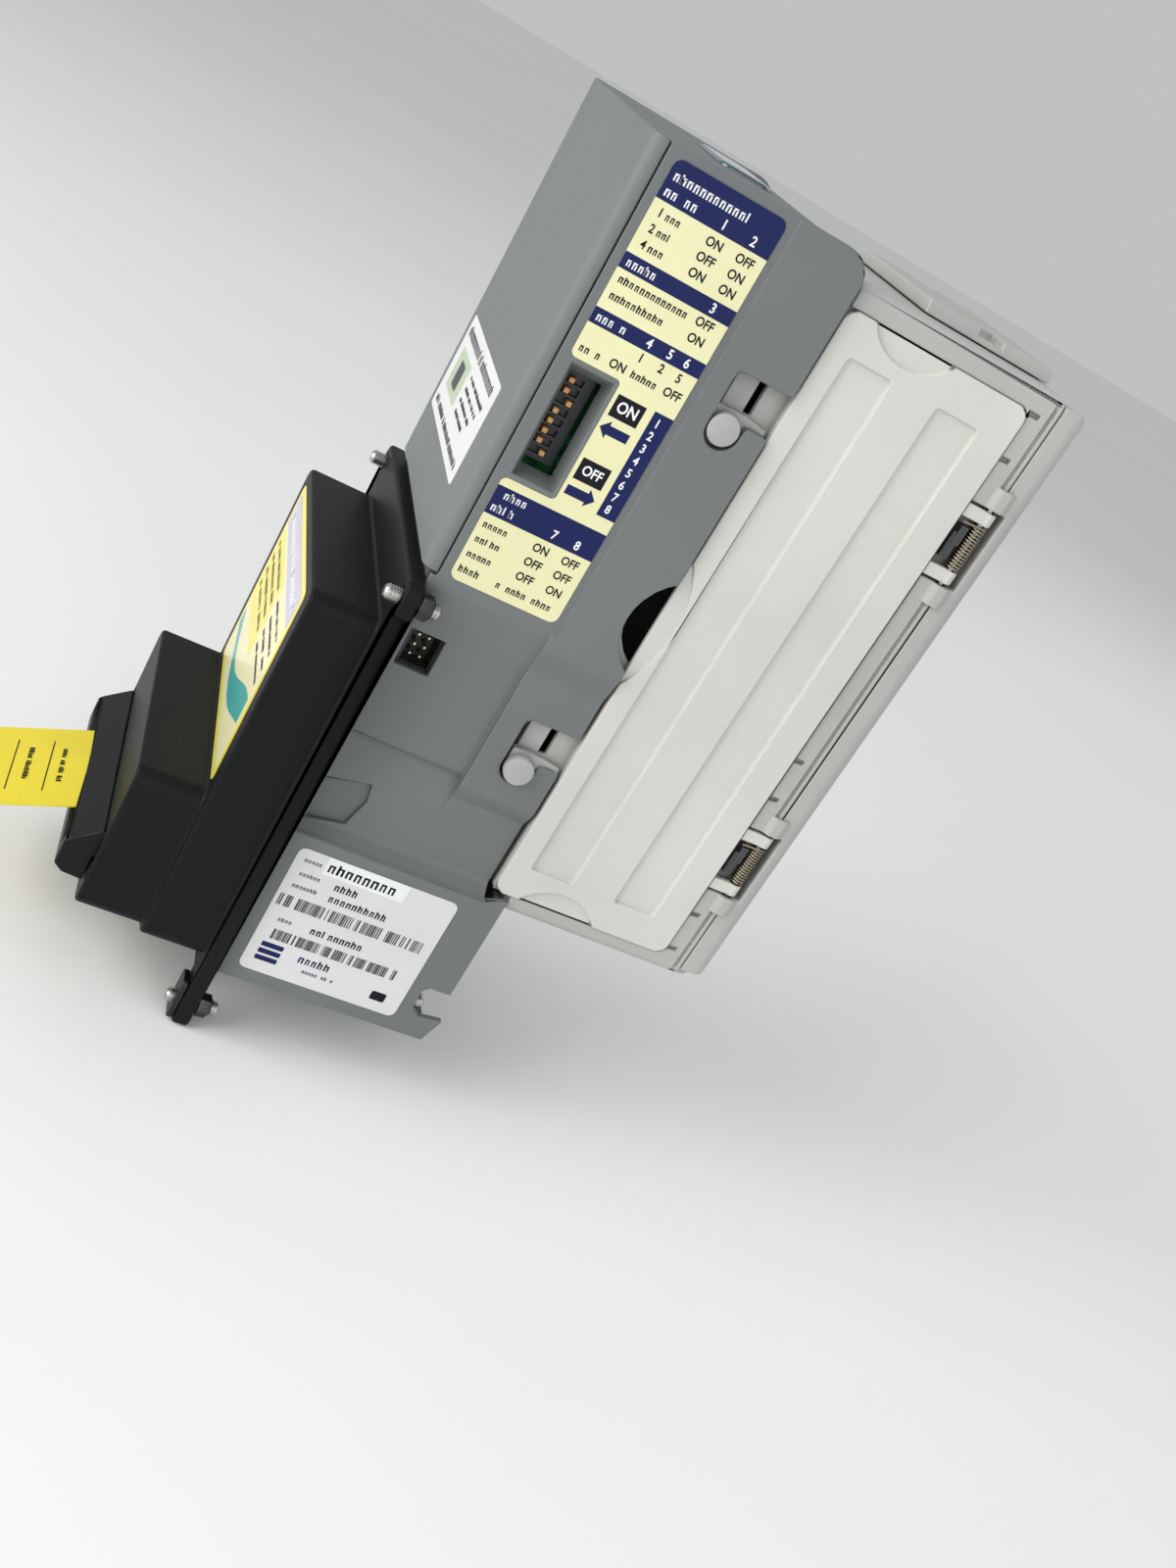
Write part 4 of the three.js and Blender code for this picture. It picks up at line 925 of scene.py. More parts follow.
class VALIDATOR_OT_fasteners(BuildOperator, bpy.types.Operator):
    """Turn the threaded mounting studs, the lug plates and the base pin"""

    bl_idname = "validator.fasteners"
    bl_label = "Studs, lugs and pin"

    def build(self, context):
        for hand in ("near", "far"):
            for level in ("upper", "lower"):
                self.mount_stud(f"mount_stud_{level}_{hand}", sizes().thread_pitch / MM)
            lug = f"lug_plate_{hand}"
            remade(lug + "_pressed", lug, "validator", "zinc_plate", "blackened", edge=0.00025)
        x, y, z = span("base_cross_pin")
        radius, neck = (y[1] - y[0]) / 2, (y[1] - y[0]) / 2 * 0.8
        tip = radius * 0.75
        half = [(0, tip), (0.5, radius), (3, radius), (3.1, neck), (3.8, neck), (3.9, radius)]
        bm = bmesh.new()
        lathe(bm, "x", (mid(y), mid(z)), [(x[0] + w, wide) for w, wide in half]
              + [(x[1] - w, wide) for w, wide in half[::-1]], 32)
        piece("base_pin_turned", bm, "validator", "steel", "zinc", ["base_cross_pin"], sharp=35)

    def mount_stud(self, node, pitch):
        x, y, z = span(node)
        centre, head = (mid(x), mid(z)), (x[1] - x[0]) / 2
        core, face = head - 1.3, BEZEL[1][1] + GAP
        root = core - 0.25
        bm = bmesh.new()
        lathe(bm, "y", centre, [(y[0], core - 0.7), (y[0] + 0.5, root), (face, root)], 28)
        lathe(bm, "y", centre, [(face + head - 0.2, root), (y[1] - 0.5, root), (y[1], core - 0.7)], 28)

        def turn_of_thread(work):
            ring(work, "y", (0, 0), [(-pitch * 0.45, core - 0.4), (-pitch * 0.1, core), (pitch * 0.1, core),
                                     (pitch * 0.45, core - 0.4)], 28)

        for start, end in ((y[0] + 0.9, face - 0.2), (face + head + 0.4, y[1] - 0.6)):
            add_row(bm, turn_of_thread, int((end - start) / pitch) + 1, (centre[0], start, centre[1]),
                    (0, pitch, 0), "steel")
        piece(node + "_thread", bm, "validator", "steel", "steel", [node], sharp=35)
        nut = bmesh.new()
        prism(nut, "y", circle(*centre, head, 6), (face, face + head - 0.4))
        lathe(nut, "y", centre, [(face + head - 0.5, head * 0.8), (face + head - 0.1, head * 0.8),
                                 (face + head, head * 0.7)], 28)
        piece(node + "_nut", nut, "validator", "steel", "dark steel", edge=0.0002)


class Printer:
    """Collects what each ink prints on one face, which looks along +X or -Y, and makes each a piece."""

    def __init__(self, node, face, slot, axis="x"):
        self.node, self.face, self.slot, self.axis = node, face, slot, axis
        self.put = PLACE[axis]
        self.sheet = sizes().label_thickness / MM
        self.film = sizes().ink_thickness / MM
        self.works = {}
        self.seed = 0

    def work(self, ink):
        return self.works.setdefault(ink, bmesh.new())

    def depth(self, layer):
        """The two ends of a layer: 0 is the sheet itself, 1 and more lie on it."""
        outward = 1 if self.axis == "x" else -1
        low = 0.02 if layer == 0 else 0.02 + self.sheet * 0.5
        high = 0.02 + self.sheet + self.film * layer
        return sorted((self.face + outward * low, self.face + outward * high))

    def area(self, ink, points, layer=1):
        prism(self.work(ink), self.axis, points, self.depth(layer))

    def words(self, ink, text, u, v, layer=2, size=None):
        low, high = self.depth(layer)
        lettering(self.work(ink), text, size or sizes().letter_height, self.put(u, v, mid((low, high))),
                  (high - low) * MM, self.axis)

    def marks(self, ink, start, end, v, height, layer=2, gaps=0.14):
        self.seed += 7
        low, high = self.depth(layer)
        greek(self.work(ink), self.put(start, v, mid((low, high))), end - start, height, high - low, self.seed,
              ink, self.axis, gaps)

    def bars(self, ink, start, end, v, layer=2):
        """A block of upright stripes of uneven width."""
        self.seed += 7
        low, high = self.depth(layer)
        pitch, thick, tall = 0.62, (high - low) / 2, v[1] - v[0]

        def stripe(work):
            box(work, *self.put((-0.2, 0.2), (-tall / 2, tall / 2), (-thick, thick)))

        add_row(self.work(ink), stripe, int((end - start) / pitch), self.put(start, mid(v), mid((low, high))),
                self.put(pitch, 0, 0), ink, (0.4, 0.4, 1), (1.5, 1.5, 1), 0.12, self.seed)

    def print(self):
        replaced = [self.node]
        for ink, bm in self.works.items():
            bmesh.ops.remove_doubles(bm, verts=bm.verts, dist=1e-4)
            piece(f"{self.node}_{ink.replace(' ', '_')}", bm, "validator", self.slot, ink, replaced, sharp=40)
            replaced = ()


class VALIDATOR_OT_switch_label(BuildOperator, bpy.types.Operator):
    """Print the label that explains the eight switches"""

    bl_idname = "validator.switch_label"
    bl_label = "Switch label"

    def build(self, context):
        left, right, foot, top = -26.0, 2.0, 124.0, 226.9
        notch_y, notch_z = -12.9, (150.8, 181.3)
        page = Printer("switch_label", SIDE_X, "switch_label")
        page.area("cream", fillet([(left, foot), (right, foot), (right, top), (left, top), (left, notch_z[1]),
                                   (notch_y, notch_z[1]), (notch_y, notch_z[0]), (left, notch_z[0])],
                                  [2, 2, 2, 2, 1.5, 1.2, 1.2, 1.5]), 0)
        page.area("navy", fillet([(left, 218), (right, 218), (right, top), (left, top)], [0, 0, 2, 2]))
        for low, high in ((202.2, 205.8), (189.4, 193.0), (141.5, 148.7)):
            page.area("navy", rectangle((left, right), (low, high)))
        page.area("navy", rectangle((-2.8, right), (152.2, 179.0)))
        page.area("navy", [(-12.3, 170.5), (-10.2, 168.4), (-10.2, 169.4), (-5.0, 169.4), (-5.0, 171.6),
                           (-10.2, 171.6), (-10.2, 172.6)])
        page.area("navy", [(-4.6, 154.6), (-6.7, 156.8), (-6.7, 155.7), (-12.0, 155.7), (-12.0, 153.4),
                           (-6.7, 153.4), (-6.7, 152.4)])
        page.area("ink", rectangle((-12, -4.8), (173.5, 178.7)))
        page.area("ink", rectangle((-11.9, -4.6), (157.4, 162.7)))
        page.words("white", "ON", -8.4, 176.1, size=0.0037)
        page.words("white", "OFF", -8.25, 160.05, size=0.0033)
        number_pitch = (176.6 - 154.3) / 7
        for number in range(8):
            page.words("white", str(number + 1), -0.9, 176.6 - number * number_pitch, size=0.0029)
        for text, u, v in (("1", -10.1, 219.9), ("2", -2.7, 219.9), ("3", -3.1, 204.0), ("4", -11.6, 191.2),
                           ("5", -6.3, 191.2), ("6", -2.0, 191.2), ("7", -8.9, 143.5), ("8", -2.9, 143.5)):
            page.words("white", text, u, v)
        for start, end, v, height in ((-24.0, -4.9, 223.5, 2.2), (-24.2, -16.8, 220.0, 2.2),
                                      (-24.2, -16.8, 204.0, 2.0), (-24.2, -16.8, 191.2, 2.0),
                                      (-24.5, -17.4, 147.0, 2.0), (-24.5, -16.8, 143.5, 2.0)):
            page.marks("white", start, end, v, height)
        columns = (-10.0, -2.3)
        rows = ((215.6, "1", ("ON", "OFF")), (212.0, "2", ("OFF", "ON")), (208.4, "4", ("ON", "ON")),
                (139.0, "", ("ON", "OFF")), (135.1, "", ("OFF", "OFF")), (131.1, "", ("OFF", "ON")))
        for v, number, states in rows:
            if number:
                page.words("ink", number, -23.4, v, size=0.0027)
            page.marks("ink", -21.6 if number else -24.3, -17.4, v, 1.7, gaps=0.05)
            for column, state in zip(columns, states):
                page.words("ink", state, column, v, size=0.0029)
        for start, end, v in ((-24.0, -7.0, 200.2), (-24.0, -10.3, 196.4), (-24.4, -18.8, 183.8),
                              (-11.4, -5.2, 183.8), (-24.4, -18.6, 127.1), (-14.8, 0.4, 127.1)):
            page.marks("ink", start, end, v, 1.8)
        for text, u, v in (("OFF", -3.0, 200.3), ("ON", -3.0, 196.5), ("1", -11.7, 187.6), ("2", -6.5, 187.6),
                           ("5", -1.9, 187.5), ("ON", -15.4, 183.8), ("OFF", -1.4, 183.8)):
            page.words("ink", text, u, v, size=0.0029)
        page.print()


class VALIDATOR_OT_rating_label(BuildOperator, bpy.types.Operator):
    """Print the white rating label with plain bars in place of its text"""

    bl_idname = "validator.rating_label"
    bl_label = "Rating label"

    def build(self, context):
        y, z = RATING[1], RATING[2]
        page = Printer("rating_label", SIDE_X, "rating_label")
        page.area("paper", rectangle(y, z, 2.0), 0)
        page.area("white", rectangle((-17.9, 4.4), (38.4, z[1])))
        page.marks("ink", -16.2, 3.0, 41.0, 3.2, gaps=0.08)
        for start, end, v, height, ink in (
                (-23.1, -18.4, 40.6, 1.3, "grey ink"), (-22.7, -17.4, 36.4, 1.3, "grey ink"),
                (-22.9, -16.4, 32.6, 1.3, "grey ink"), (-22.8, -18.0, 21.6, 1.3, "grey ink"),
                (-12.6, -4.6, 36.1, 2.2, "ink"), (-12.6, 4.0, 32.4, 2.2, "ink"), (-12.6, 2.8, 21.5, 2.2, "ink"),
                (-11.6, -2.4, 12.2, 2.4, "navy"), (-9.6, -0.6, 8.8, 1.2, "navy")):
            page.marks(ink, start, end, v, height, gaps=0.06)
        page.bars("grey ink", -24.6, 16.2, (25.7, 29.3))
        page.bars("grey ink", -21.5, 13.8, (15.3, 18.5))
        for low in (8.0, 10.2, 12.4):
            page.area("navy", rectangle((-23.0, -17.0), (low, low + 1.5), 0.3))
        page.area("ink", rectangle((9.6, 13.8), (7.6, 10.4), 0.5))
        page.print()


class VALIDATOR_OT_front_prints(BuildOperator, bpy.types.Operator):
    """Print the note on the cover and the coloured decal on the bezel"""

    bl_idname = "validator.front_prints"
    bl_label = "Note and decal"

    def build(self, context):
        x, z = NOTE[0], NOTE[2]
        note = Printer("note_sticker", COVER_Y, "sticker_paper", "y")
        note.area("paper", rectangle(x, z, 1.2), 0)
        note.marks("grey ink", x[0] + 4, x[1] - 4, z[1] - 3.4, 3.0)
        note.area("green print", rectangle((x[0] + 6, x[0] + 26), (z[0] + 7.5, z[1] - 7.5)))
        note.area("grey ink", rectangle((x[0] + 12, x[0] + 20), (z[0] + 9.5, z[1] - 9.5), 1.0), 2)
        for row in range(4):
            note.marks("grey ink", x[0] + 31, x[1] - 6 - 3 * row, z[1] - 8.4 - 2.9 * row, 1.3)
        note.marks("grey ink", x[0] + 4, x[1] - 4, z[0] + 3.2, 2.0)
        note.print()

        x, z = DECAL[0], DECAL[2]
        decal = Printer("bezel_decal", BEZEL_Y, "decal_print", "y")
        decal.area("yellow print", rectangle(x, z, 2.5), 0)
        inner_x, inner_z = (x[0] + 2.4, x[1] - 2.4), (z[0] + 2.4, z[1] - 2.4)
        mid = inner_z[0] + 17
        decal.area("cream", rectangle(inner_x, inner_z, 1.5))
        decal.area("lilac print", rectangle(inner_x, (inner_z[1] - 9, inner_z[1]), 1.2), 2)
        decal.area("yellow print", rectangle((inner_x[0], 4), (mid, inner_z[1] - 10.5), 1.0), 2)
        wave = [(inner_x[0] + 1 + 1.6 * k, mid - 3 - 6 * math.sin(k / 9)) for k in range(42)]
        decal.area("teal print", wave + [(u, v - 6 - 3 * math.sin(u / 12)) for u, v in wave[::-1]], 2)
        decal.marks("white", inner_x[0] + 4, inner_x[1] - 3, inner_z[1] - 4.5, 3.4, layer=3)
        for row in range(4):
            decal.marks("grey ink", inner_x[0] + 3, 1, inner_z[1] - 14 - 4.2 * row, 2.0, layer=3)
            decal.marks("grey ink", 8, inner_x[1] - 3, inner_z[1] - 14 - 4.2 * row, 1.5, layer=3)
        decal.print()


class VALIDATOR_OT_lens(BuildOperator, bpy.types.Operator):
    """Set the tinted lens into the top"""

    bl_idname = "validator.lens"
    bl_label = "Top lens"

    def build(self, context):
        x, y, z = span("top_lens")
        bm = bmesh.new()
        prism(bm, "z", rectangle(x, y, 3.0, 8), z)
        piece("top_lens_window", bm, "validator", "lens", "lens", ["top_lens"], edge=0.0008, steps=4)


class VALIDATOR_OT_electronics(BuildOperator, bpy.types.Operator):
    """Build the boards with their components, the harness socket and the switch bank"""

    bl_idname = "validator.electronics"
    bl_label = "Electronics"

    def build(self, context):
        x, y, z = span("main_board")
        remade("main_board_green", "main_board", "validator", "circuit_board", "board", edge=0.0001)
        chips, legs, cans = bmesh.new(), bmesh.new(), bmesh.new()
        for low, high, middle in ((84, 96, -19), (112, 126, -18), (196, 204, -20)):
            box(chips, (x[0] - 0.5, x[0] - 0.1), (middle - 5.6, middle + 5.6), (low + 0.4, high - 0.4))
            count = int((high - low - 1) / 1.27)

            def leg(work):
                box(work, (-0.12, 0.12), (-0.9, 0.9), (-0.22, 0.22))

            for edge_y in (middle - 6.6, middle + 6.6):
                add_row(legs, leg, count, (x[0] + 1.9, edge_y, low + 1), (0, 0, 1.27), "tin")

        def joint(work):
            lathe(work, "x", (0, 0), [(-0.1, 0.75), (0.25, 0.6), (0.7, 0.25), (0.9, 0.2)], 10)

        for row in range(3):
            add_row(legs, joint, 14, (x[1], -25 + row * 5.2, 80 + row * 2), (0, 0, 8.4), "tin",
                    gaps=0.2, seed=row + 1)

        def can(work):
            lathe(work, "x", (0, 0), [(-5.5, 2.1), (-5.2, 2.5), (-0.9, 2.5), (-0.7, 2.3), (-0.4, 2.5), (0, 2.5)], 24)

        add_row(cans, can, 4, (x[0], -20, 136), (0, 0, 7.5), "dark")
        piece("board_chips", chips, "validator", "connector_black", "dark", edge=0.00012)
        piece("board_joints", legs, "validator", "steel", "tin")
        piece("board_capacitors", cans, "validator", "connector_black", "dark", sharp=40)

        remade("optic_board_green", "optic_board", "validator", "circuit_board", "board", edge=0.0001)
        x, y, z = span("optic_board")
        eyes = bmesh.new()

        def eye(work):
            lathe(work, "y", (0, 0), [(-0.1, 1.5), (1.6, 1.5), (2.1, 1.1), (2.3, 0.4)], 20)

        add_row(eyes, eye, 5, (x[0] + 8, y[1], z[0] + 8), (9, 0, 0), "lens")
        piece("optic_eyes", eyes, "validator", "lens", "lens", sharp=40)

        remade("harness_socket_moulded", "harness_socket", "validator", "connector_black", "dark", edge=0.0001)
        x, y, z = span("harness_socket")
        pins = bmesh.new()

        def pin(work):
            prism(work, "x", rectangle((-0.32, 0.32), (-0.32, 0.32), 0.08, 2), (-2.8, 2.8))

        for column in (y[0] + 3.1, y[0] + 5.7):
            add_row(pins, pin, 3, (x[1] - 4.2, column, z[0] + 3.2), (0, 0, 2.7), "tin")
        piece("harness_pins", pins, "validator", "connector_black", "tin", edge=0.00006)

        remade("switch_bank", "switch_body", "validator", "switch_blue", "switch", edge=0.00012)
        for number in range(1, 9):
            node = f"switch_lever_{number}"
            x, y, z = span(node)
            bm = bmesh.new()
            prism(bm, "z", [(x[0], y[0]), (x[1] - 0.2, y[0]), (x[1], y[0] + 0.2), (x[1], y[1] - 0.2),
                            (x[1] - 0.2, y[1]), (x[0], y[1])], (mid(z) - 0.58, mid(z) + 0.58))
            piece(f"lever_tip_{number}", bm, f"lever_{number}", "lever_cream", "lever", [node],
                  edge=0.00008)


class VALIDATOR_OT_transformer(BuildOperator, bpy.types.Operator):
    """Stack the transformer's iron sheets and wind its coil"""

    bl_idname = "validator.transformer"
    bl_label = "Transformer"

    def build(self, context):
        x, y, z = span("transformer_core")
        pitch, yoke = sizes().lamination / MM, 7
        bm = bmesh.new()

        def sheet(work):
            window = (z[1] - z[0]) / 2 - yoke - 0.1
            tall = window + yoke
            for limb in ((x[0], -15), (-7, 7), (15, x[1])):
                prism(work, "y", rectangle(limb, (-tall, tall)), (-pitch * 0.44, pitch * 0.44))
            for across in ((-15, -7), (7, 15)):
                for up in ((-tall, -window), (window, tall)):
                    prism(work, "y", rectangle(across, up), (-pitch * 0.42, pitch * 0.42))

        count = int((y[1] - y[0]) / pitch)
        add_row(bm, sheet, count, (0, y[0] + pitch / 2, mid(z)), (0, pitch, 0), "iron")
        for x_low in (x[0] + 2, x[1] - 5):
            for level in (z[0] + 3.5, z[1] - 3.5):
                lathe(bm, "y", (x_low + 1.5, level), [(y[0] - 0.1, 1.2), (y[0] + 0.2, 1.4), (y[1] - 0.2, 1.4),
                                                      (y[1] + 0.1, 1.2)], 16)
        piece("transformer_sheets", bm, "validator", "steel", "iron", ["transformer_core"])
        remade("transformer_winding", "transformer_coil", "validator", "coil_wrap", "winding",
               edge=0.0012, steps=4)


def motor(node):
    """A motor's can with a steel band round it."""
    x, y, z = span(node)
    radius = (z[1] - z[0]) / 2
    remade(node + "_can", node, "validator", "steel", "zinc", edge=0.0006, sharp=34, steps=3)
    band = bmesh.new()
    ring(band, "x", (mid(y), mid(z)), [(x[1] - 9, radius + 0.02), (x[1] - 9, radius + 0.25),
                                       (x[1] - 3, radius + 0.25), (x[1] - 3, radius + 0.02)], 48)
    piece(node + "_band", band, "validator", "steel", "steel", sharp=40)


def belt_loop(centre, low, high, radius, steps=24):
    """Points in Y and Z on the way round two pulleys."""
    arc = [(radius * math.cos(a), radius * math.sin(a)) for a in (math.pi * k / steps for k in range(steps + 1))]
    return [(centre + u, high + v) for u, v in arc] + [(centre - u, low - v) for u, v in arc]


def on_loop(along, centre, low, high, radius):
    """Place and inward turn at a distance along that way."""
    half, straight = math.pi * radius, high - low
    for turned, level in ((0, high), (math.pi, low)):
        if along < half:
            angle = turned + along / radius
            return (centre + radius * math.cos(angle), level + radius * math.sin(angle)), angle + math.pi / 2
        along -= half
        if along < straight and level == high:
            return (centre - radius, high - along), -math.pi / 2
        if level == high:
            along -= straight
    return (centre + radius, low + along), math.pi / 2


class VALIDATOR_OT_transport(BuildOperator, bpy.types.Operator):
    """Build the motor, the rollers, the belt shafts and the two toothed feed belts"""

    bl_idname = "validator.transport"
    bl_label = "Bill transport"

    def build(self, context):
        motor("transport_motor")
        for node, body in (("motor_pinion", "motor_pinion"), ("belt_shaft_lower", "lower_belt_shaft"),
                           ("belt_shaft_upper", "upper_belt_shaft")):
            remade(node + "_cut", node, body, "gear_plastic", "gear", edge=0.00018, sharp=34)
        for node in ("entry_roller", "pinch_roller"):
            remade(node + "_turned", node, node, "rubber", "rubber", edge=0.00025, sharp=34)
        for hand in ("near", "far"):
            self.belt(f"feed_belt_{hand}")

    def belt(self, node):
        x, y, z = span(node)
        outer = (y[1] - y[0]) / 2
        centre, low, high = mid(y), z[0] + outer, z[1] - outer
        middle = outer - 0.35
        bm = bmesh.new()
        loops = [belt_loop(centre, low, high, radius) for radius in (outer - 0.02, outer - 0.7)]
        rings = [[bm.verts.new((w, u, v)) for u, v in loop] for w in x for loop in loops]
        count = len(loops[0])
        for a, b in ((0, 1), (1, 3), (3, 2), (2, 0)):
            for k in range(count):
                bm.faces.new((rings[a][k], rings[a][(k + 1) % count], rings[b][(k + 1) % count], rings[b][k]))
        bmesh.ops.recalc_face_normals(bm, faces=bm.faces)
        half = (x[1] - x[0]) / 2 - 0.05

        def tooth(work):
            prism(work, "x", [(-0.55, 0.2), (-0.3, 0.57), (0.3, 0.57), (0.55, 0.2)], (-half, half))

        unit = unit_object(tooth)
        length = math.tau * middle + 2 * (high - low)
        teeth = round(length / (sizes().belt_pitch / MM))
        for k in range(teeth):
            place, turn = on_loop(length * k / teeth, centre, low, high, middle)
            matrix = Matrix.Translation((mid(x), *place)) @ Matrix.Rotation(turn, 4, "X")
            add_mesh(bm, unit.data.copy(), matrix)
        bpy.data.objects.remove(unit)
        piece(node + "_toothed", bm, "validator", "rubber", "rubber", [node], sharp=30)


class VALIDATOR_OT_stacker(BuildOperator, bpy.types.Operator):
    """Build the stacker motor, its pinions and the pusher plate"""

    bl_idname = "validator.stacker"
    bl_label = "Stacker"

    def build(self, context):
        motor("stacker_motor")
        for node, body in (("stacker_pinions", "stacker_pinions"), ("pusher_plate", "pusher")):
            remade(node + "_moulded", node, body, "gear_plastic", "gear", edge=0.0002, sharp=34)


class VALIDATOR_OT_cassette(BuildOperator, bpy.types.Operator):
    """Mould the cassette, its back, its studs and its grip"""

    bl_idname = "validator.cassette"
    bl_label = "Cassette"

    def build(self, context):
        edge = sizes().housing_edge * 1.3
        for name, node, cuts in (
                ("cassette_shell", "cassette_body", [("z", mid(DOOR[2]) + 0.31), ("x", 0.0)]),
                ("cassette_back_shell", "cassette_back", ()),
                ("cassette_grip_moulded", "cassette_grip", ())):
            remade(name, node, "cassette", "cassette_grey", "cassette", cuts, edge=edge, steps=3)
        for level in ("upper", "lower"):
            for hand, sign in (("near", 1), ("far", -1)):
                node = f"cassette_stud_{level}_{hand}"
                x, y, z = span(node)
                u, v, radius = mid(y), mid(z), (y[1] - y[0]) / 2
                root, tip = (x[0], x[1]) if sign > 0 else (x[1], x[0])
                bm = bmesh.new()
                crown = ((2.2, 0.8), (2.0, 1), (0.7, 1), (0.35, 0.985), (0.1, 0.94), (0, 0.86))
                lathe(bm, "x", (u, v), [(root, radius * 0.8)]
                      + [(tip - sign * back, radius * share) for back, share in crown], 56)
                ledge = sorted((root, sign * (abs(root) + 2.0)))
                prism(bm, "x", fillet([(u - 3.4, v), (u + 9.9, v), (u + 9.9, v + 3.6), (u + 4.2, v + 4.5),
                                       (u - 3.4, v + 4.5)], 0.5), ledge)
                piece(node + "_moulded", bm, "cassette", "stud_light", "stud", [node], sharp=24)


class VALIDATOR_OT_hinges(BuildOperator, bpy.types.Operator):
    """Fit the hinge pins, the wound door springs and the bosses beside them"""

    bl_idname = "validator.hinges"
    bl_label = "Hinge pins and springs"

    def build(self, context):
        s = sizes()
        for level in ("lower", "upper"):
            x, y, z = span(f"hinge_pin_{level}")
            u, v, radius = mid(x), mid(y), (x[1] - x[0]) / 2
            low, high = z[0] + 2.2, z[1] - 2.2
            bm = bmesh.new()
            lathe(bm, "z", (u, v), [(z[0], radius * 0.7), (z[0] + 0.3, radius), (z[1] - 0.3, radius),
                                    (z[1], radius * 0.7)], 24)
            piece(f"hinge_pin_{level}_turned", bm, "cassette", "steel", "steel", [f"hinge_pin_{level}"])
            x, y, z = span(f"hinge_spring_{level}")
            wire = s.spring_wire / MM
            coil = grow("coil", turns=float(s.spring_turns), radius=(x[1] - x[0]) / 2 * MM - s.spring_wire / 2,
                        height=(z[1] - z[0] - wire) * MM, wire=s.spring_wire / 2, steps=22, sides=8,
                        material=finish("spring"))
            bm = bmesh.new()
            add_mesh(bm, coil, Matrix.Translation((u, v, z[0] + wire / 2)))
            outside, end = u + (x[1] - x[0]) / 2 - wire / 2, z[1] - wire / 2
            tube(bm, [(outside, v, end), (outside, v - 2.0, end - 0.1), (outside, v - 5.6, end - 0.3)], wire / 2)
            piece(f"hinge_spring_{level}_wound", bm, "cassette", "steel", "spring", [f"hinge_spring_{level}"],
                  sharp=60)
            bosses = bmesh.new()
            outline = [(u - 2.2, v - 3.4), (u + 1.2, v - 3.4), (u + 2.7, v - 1.4), (u + 2.7, v + 1.4),
                       (u + 1.2, v + 3.4), (u - 2.2, v + 3.4)]
            for ends in ((low - 5.6, low - 0.1), (high + 0.1, high + 5.6)):
                prism(bosses, "z", fillet(outline, [0, 1.6, 1.6, 1.6, 1.6, 0]), ends)
            piece(f"hinge_boss_{level}", bosses, "cassette", "cassette_grey", "cassette", edge=0.0004, steps=3)
            block = bmesh.new()
            box(block, (u - 2.4, u + 0.9), (v - 5.6, v - 3.0), (low + 6, low + 13))
            box(block, (u - 2.4, u + 1.3), (v - 4.6, v - 2.6), (low + 10, low + 15))
            piece(f"hinge_stop_{level}", block, "cassette", "plate_dark", "plate", edge=0.0002)


class VALIDATOR_OT_door(BuildOperator, bpy.types.Operator):
    """Mould the cassette door"""

    bl_idname = "validator.door"
    bl_label = "Door"

    def build(self, context):
        bm = copy_of("cassette_door")
        for vert in bm.verts:
            if abs(vert.co.z - DOOR[2][0]) < 0.2:
                vert.co.z -= 0.25
            if abs(vert.co.z - DOOR[2][1]) < 0.2:
                vert.co.z += 0.25
        piece("door_panel", bm, "door", "door_white", "door", ["cassette_door"],
              edge=sizes().door_edge, steps=3, sharp=24)


class VALIDATOR_OT_pressure_plate(BuildOperator, bpy.types.Operator):
    """Press the plate that holds the bills and wind its spring"""

    bl_idname = "validator.pressure_plate"
    bl_label = "Pressure plate and spring"

    def build(self, context):
        remade("pressure_plate_pressed", "pressure_plate", "pressure_plate", "plate_dark", "plate",
               edge=0.0004, steps=3)
        x, y, z = span("pressure_spring")
        radius, wire = (x[1] - x[0]) / 2, 1.4
        coil = grow("coil", turns=9.0, radius=(radius - wire / 2) * MM, height=(y[1] - y[0] - wire) * MM,
                    wire=wire / 2 * MM, steps=40, sides=10, material=finish("spring"))
        bm = bmesh.new()
        add_mesh(bm, coil, Matrix.Translation((mid(x), y[1] - wire / 2, mid(z)))
                 @ Matrix.Rotation(math.pi / 2, 4, "X"))
        spring = piece("pressure_spring_wound", bm, "cassette", "steel", "spring", ["pressure_spring"],
                       sharp=60)
        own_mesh(spring)


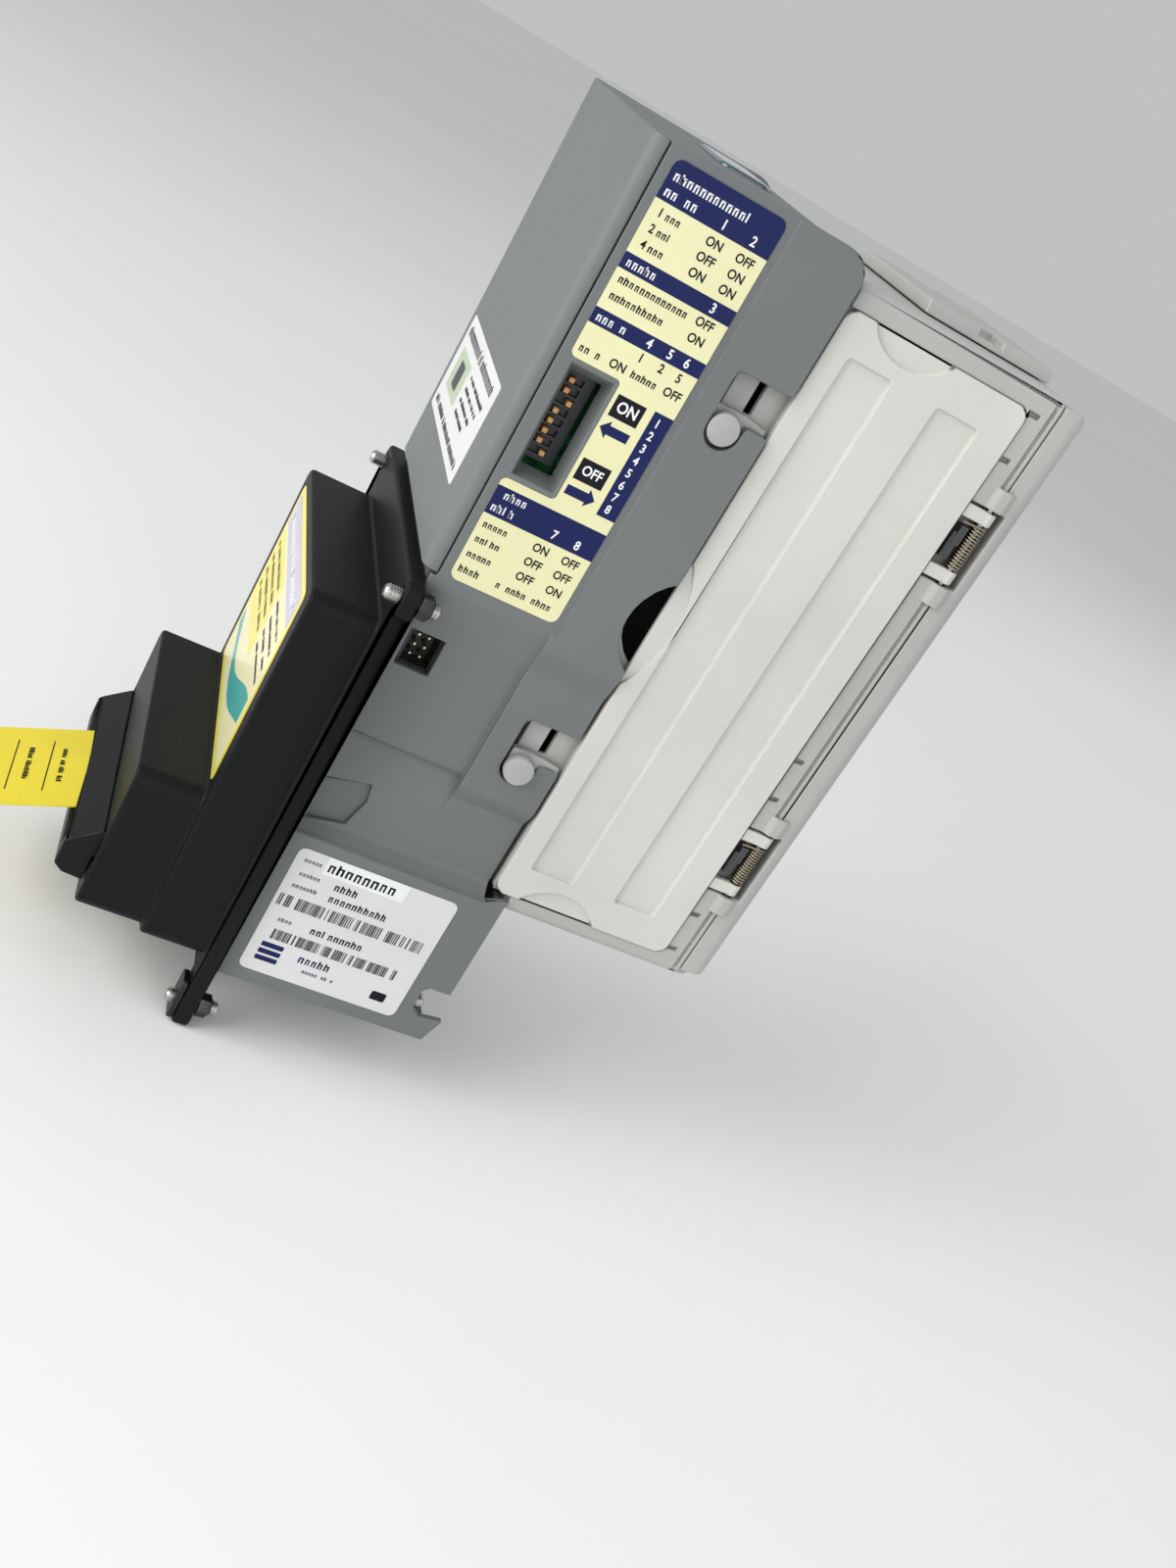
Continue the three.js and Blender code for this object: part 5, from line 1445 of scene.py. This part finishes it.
class VALIDATOR_OT_strip(BuildOperator, bpy.types.Operator):
    """Cut the yellow packing strip that stands out of the mouth, with its ruled lines"""

    bl_idname = "validator.strip"
    bl_label = "Packing strip"

    def build(self, context):
        remade("packing_strip_film", "packing_strip", "strip", "strip_yellow", "strip", edge=0.00006)
        x, y, z = STRIP
        rise = math.tan(STRIP_TILT)
        thick = 0.5 / math.cos(STRIP_TILT)
        ink = bmesh.new()

        def line(left, right, at, width):
            """A printed line across the strip, lying on its sloping top."""
            foot = z[0] + thick + (at - y[0]) * rise
            prism(ink, "x", [(at, foot - 0.02), (at + width, foot - 0.02 + width * rise),
                             (at + width, foot + 0.05 + width * rise), (at, foot + 0.05)], (left, right))

        for at in (y[0] + 6.0, y[0] + 14.5):
            line(x[0] + 7, x[1] - 7, at, 0.25)
        rng = random.Random(5)
        for at in (y[0] + 9.2, y[0] + 17.2):
            place = x[0] + 11
            while place < x[1] - 12:
                wide = rng.uniform(0.5, 1.1)
                if rng.random() > 0.12:
                    line(place, place + wide, at, rng.uniform(0.9, 1.3))
                place += wide + 0.35
        piece("packing_strip_lines", ink, "strip", "strip_yellow", "ink", sharp=40)


OPERATORS = (
    VALIDATOR_OT_stage, VALIDATOR_OT_housing, VALIDATOR_OT_bezel, VALIDATOR_OT_fasteners,
    VALIDATOR_OT_switch_label, VALIDATOR_OT_rating_label, VALIDATOR_OT_front_prints, VALIDATOR_OT_lens,
    VALIDATOR_OT_electronics, VALIDATOR_OT_transformer, VALIDATOR_OT_transport, VALIDATOR_OT_stacker,
    VALIDATOR_OT_cassette, VALIDATOR_OT_hinges, VALIDATOR_OT_door, VALIDATOR_OT_pressure_plate,
    VALIDATOR_OT_strip,
)


class VALIDATOR_PT_panel(bpy.types.Panel):
    """The build steps and the sizes and colours they read"""

    bl_idname = "VALIDATOR_PT_panel"
    bl_label = "Bill Validator"
    bl_space_type = "VIEW_3D"
    bl_region_type = "UI"
    bl_category = "Validator"

    def draw(self, context):
        for operator in OPERATORS:
            self.layout.operator(operator.bl_idname)
        for group in (context.scene.validator_sizes, context.scene.validator_colours):
            for name in group.__annotations__:
                self.layout.prop(group, name)


CLASSES = (ValidatorSizes, ValidatorColours, *OPERATORS, VALIDATOR_PT_panel)


def register():
    for cls in CLASSES:
        bpy.utils.register_class(cls)
    bpy.types.Scene.validator_sizes = PointerProperty(type=ValidatorSizes)
    bpy.types.Scene.validator_colours = PointerProperty(type=ValidatorColours)


def unregister():
    del bpy.types.Scene.validator_sizes
    del bpy.types.Scene.validator_colours
    for cls in reversed(CLASSES):
        bpy.utils.unregister_class(cls)


def main():
    register()
    for operator in OPERATORS:
        group, name = operator.bl_idname.split(".")
        getattr(getattr(bpy.ops, group), name)()


if __name__ == "__main__":
    main()
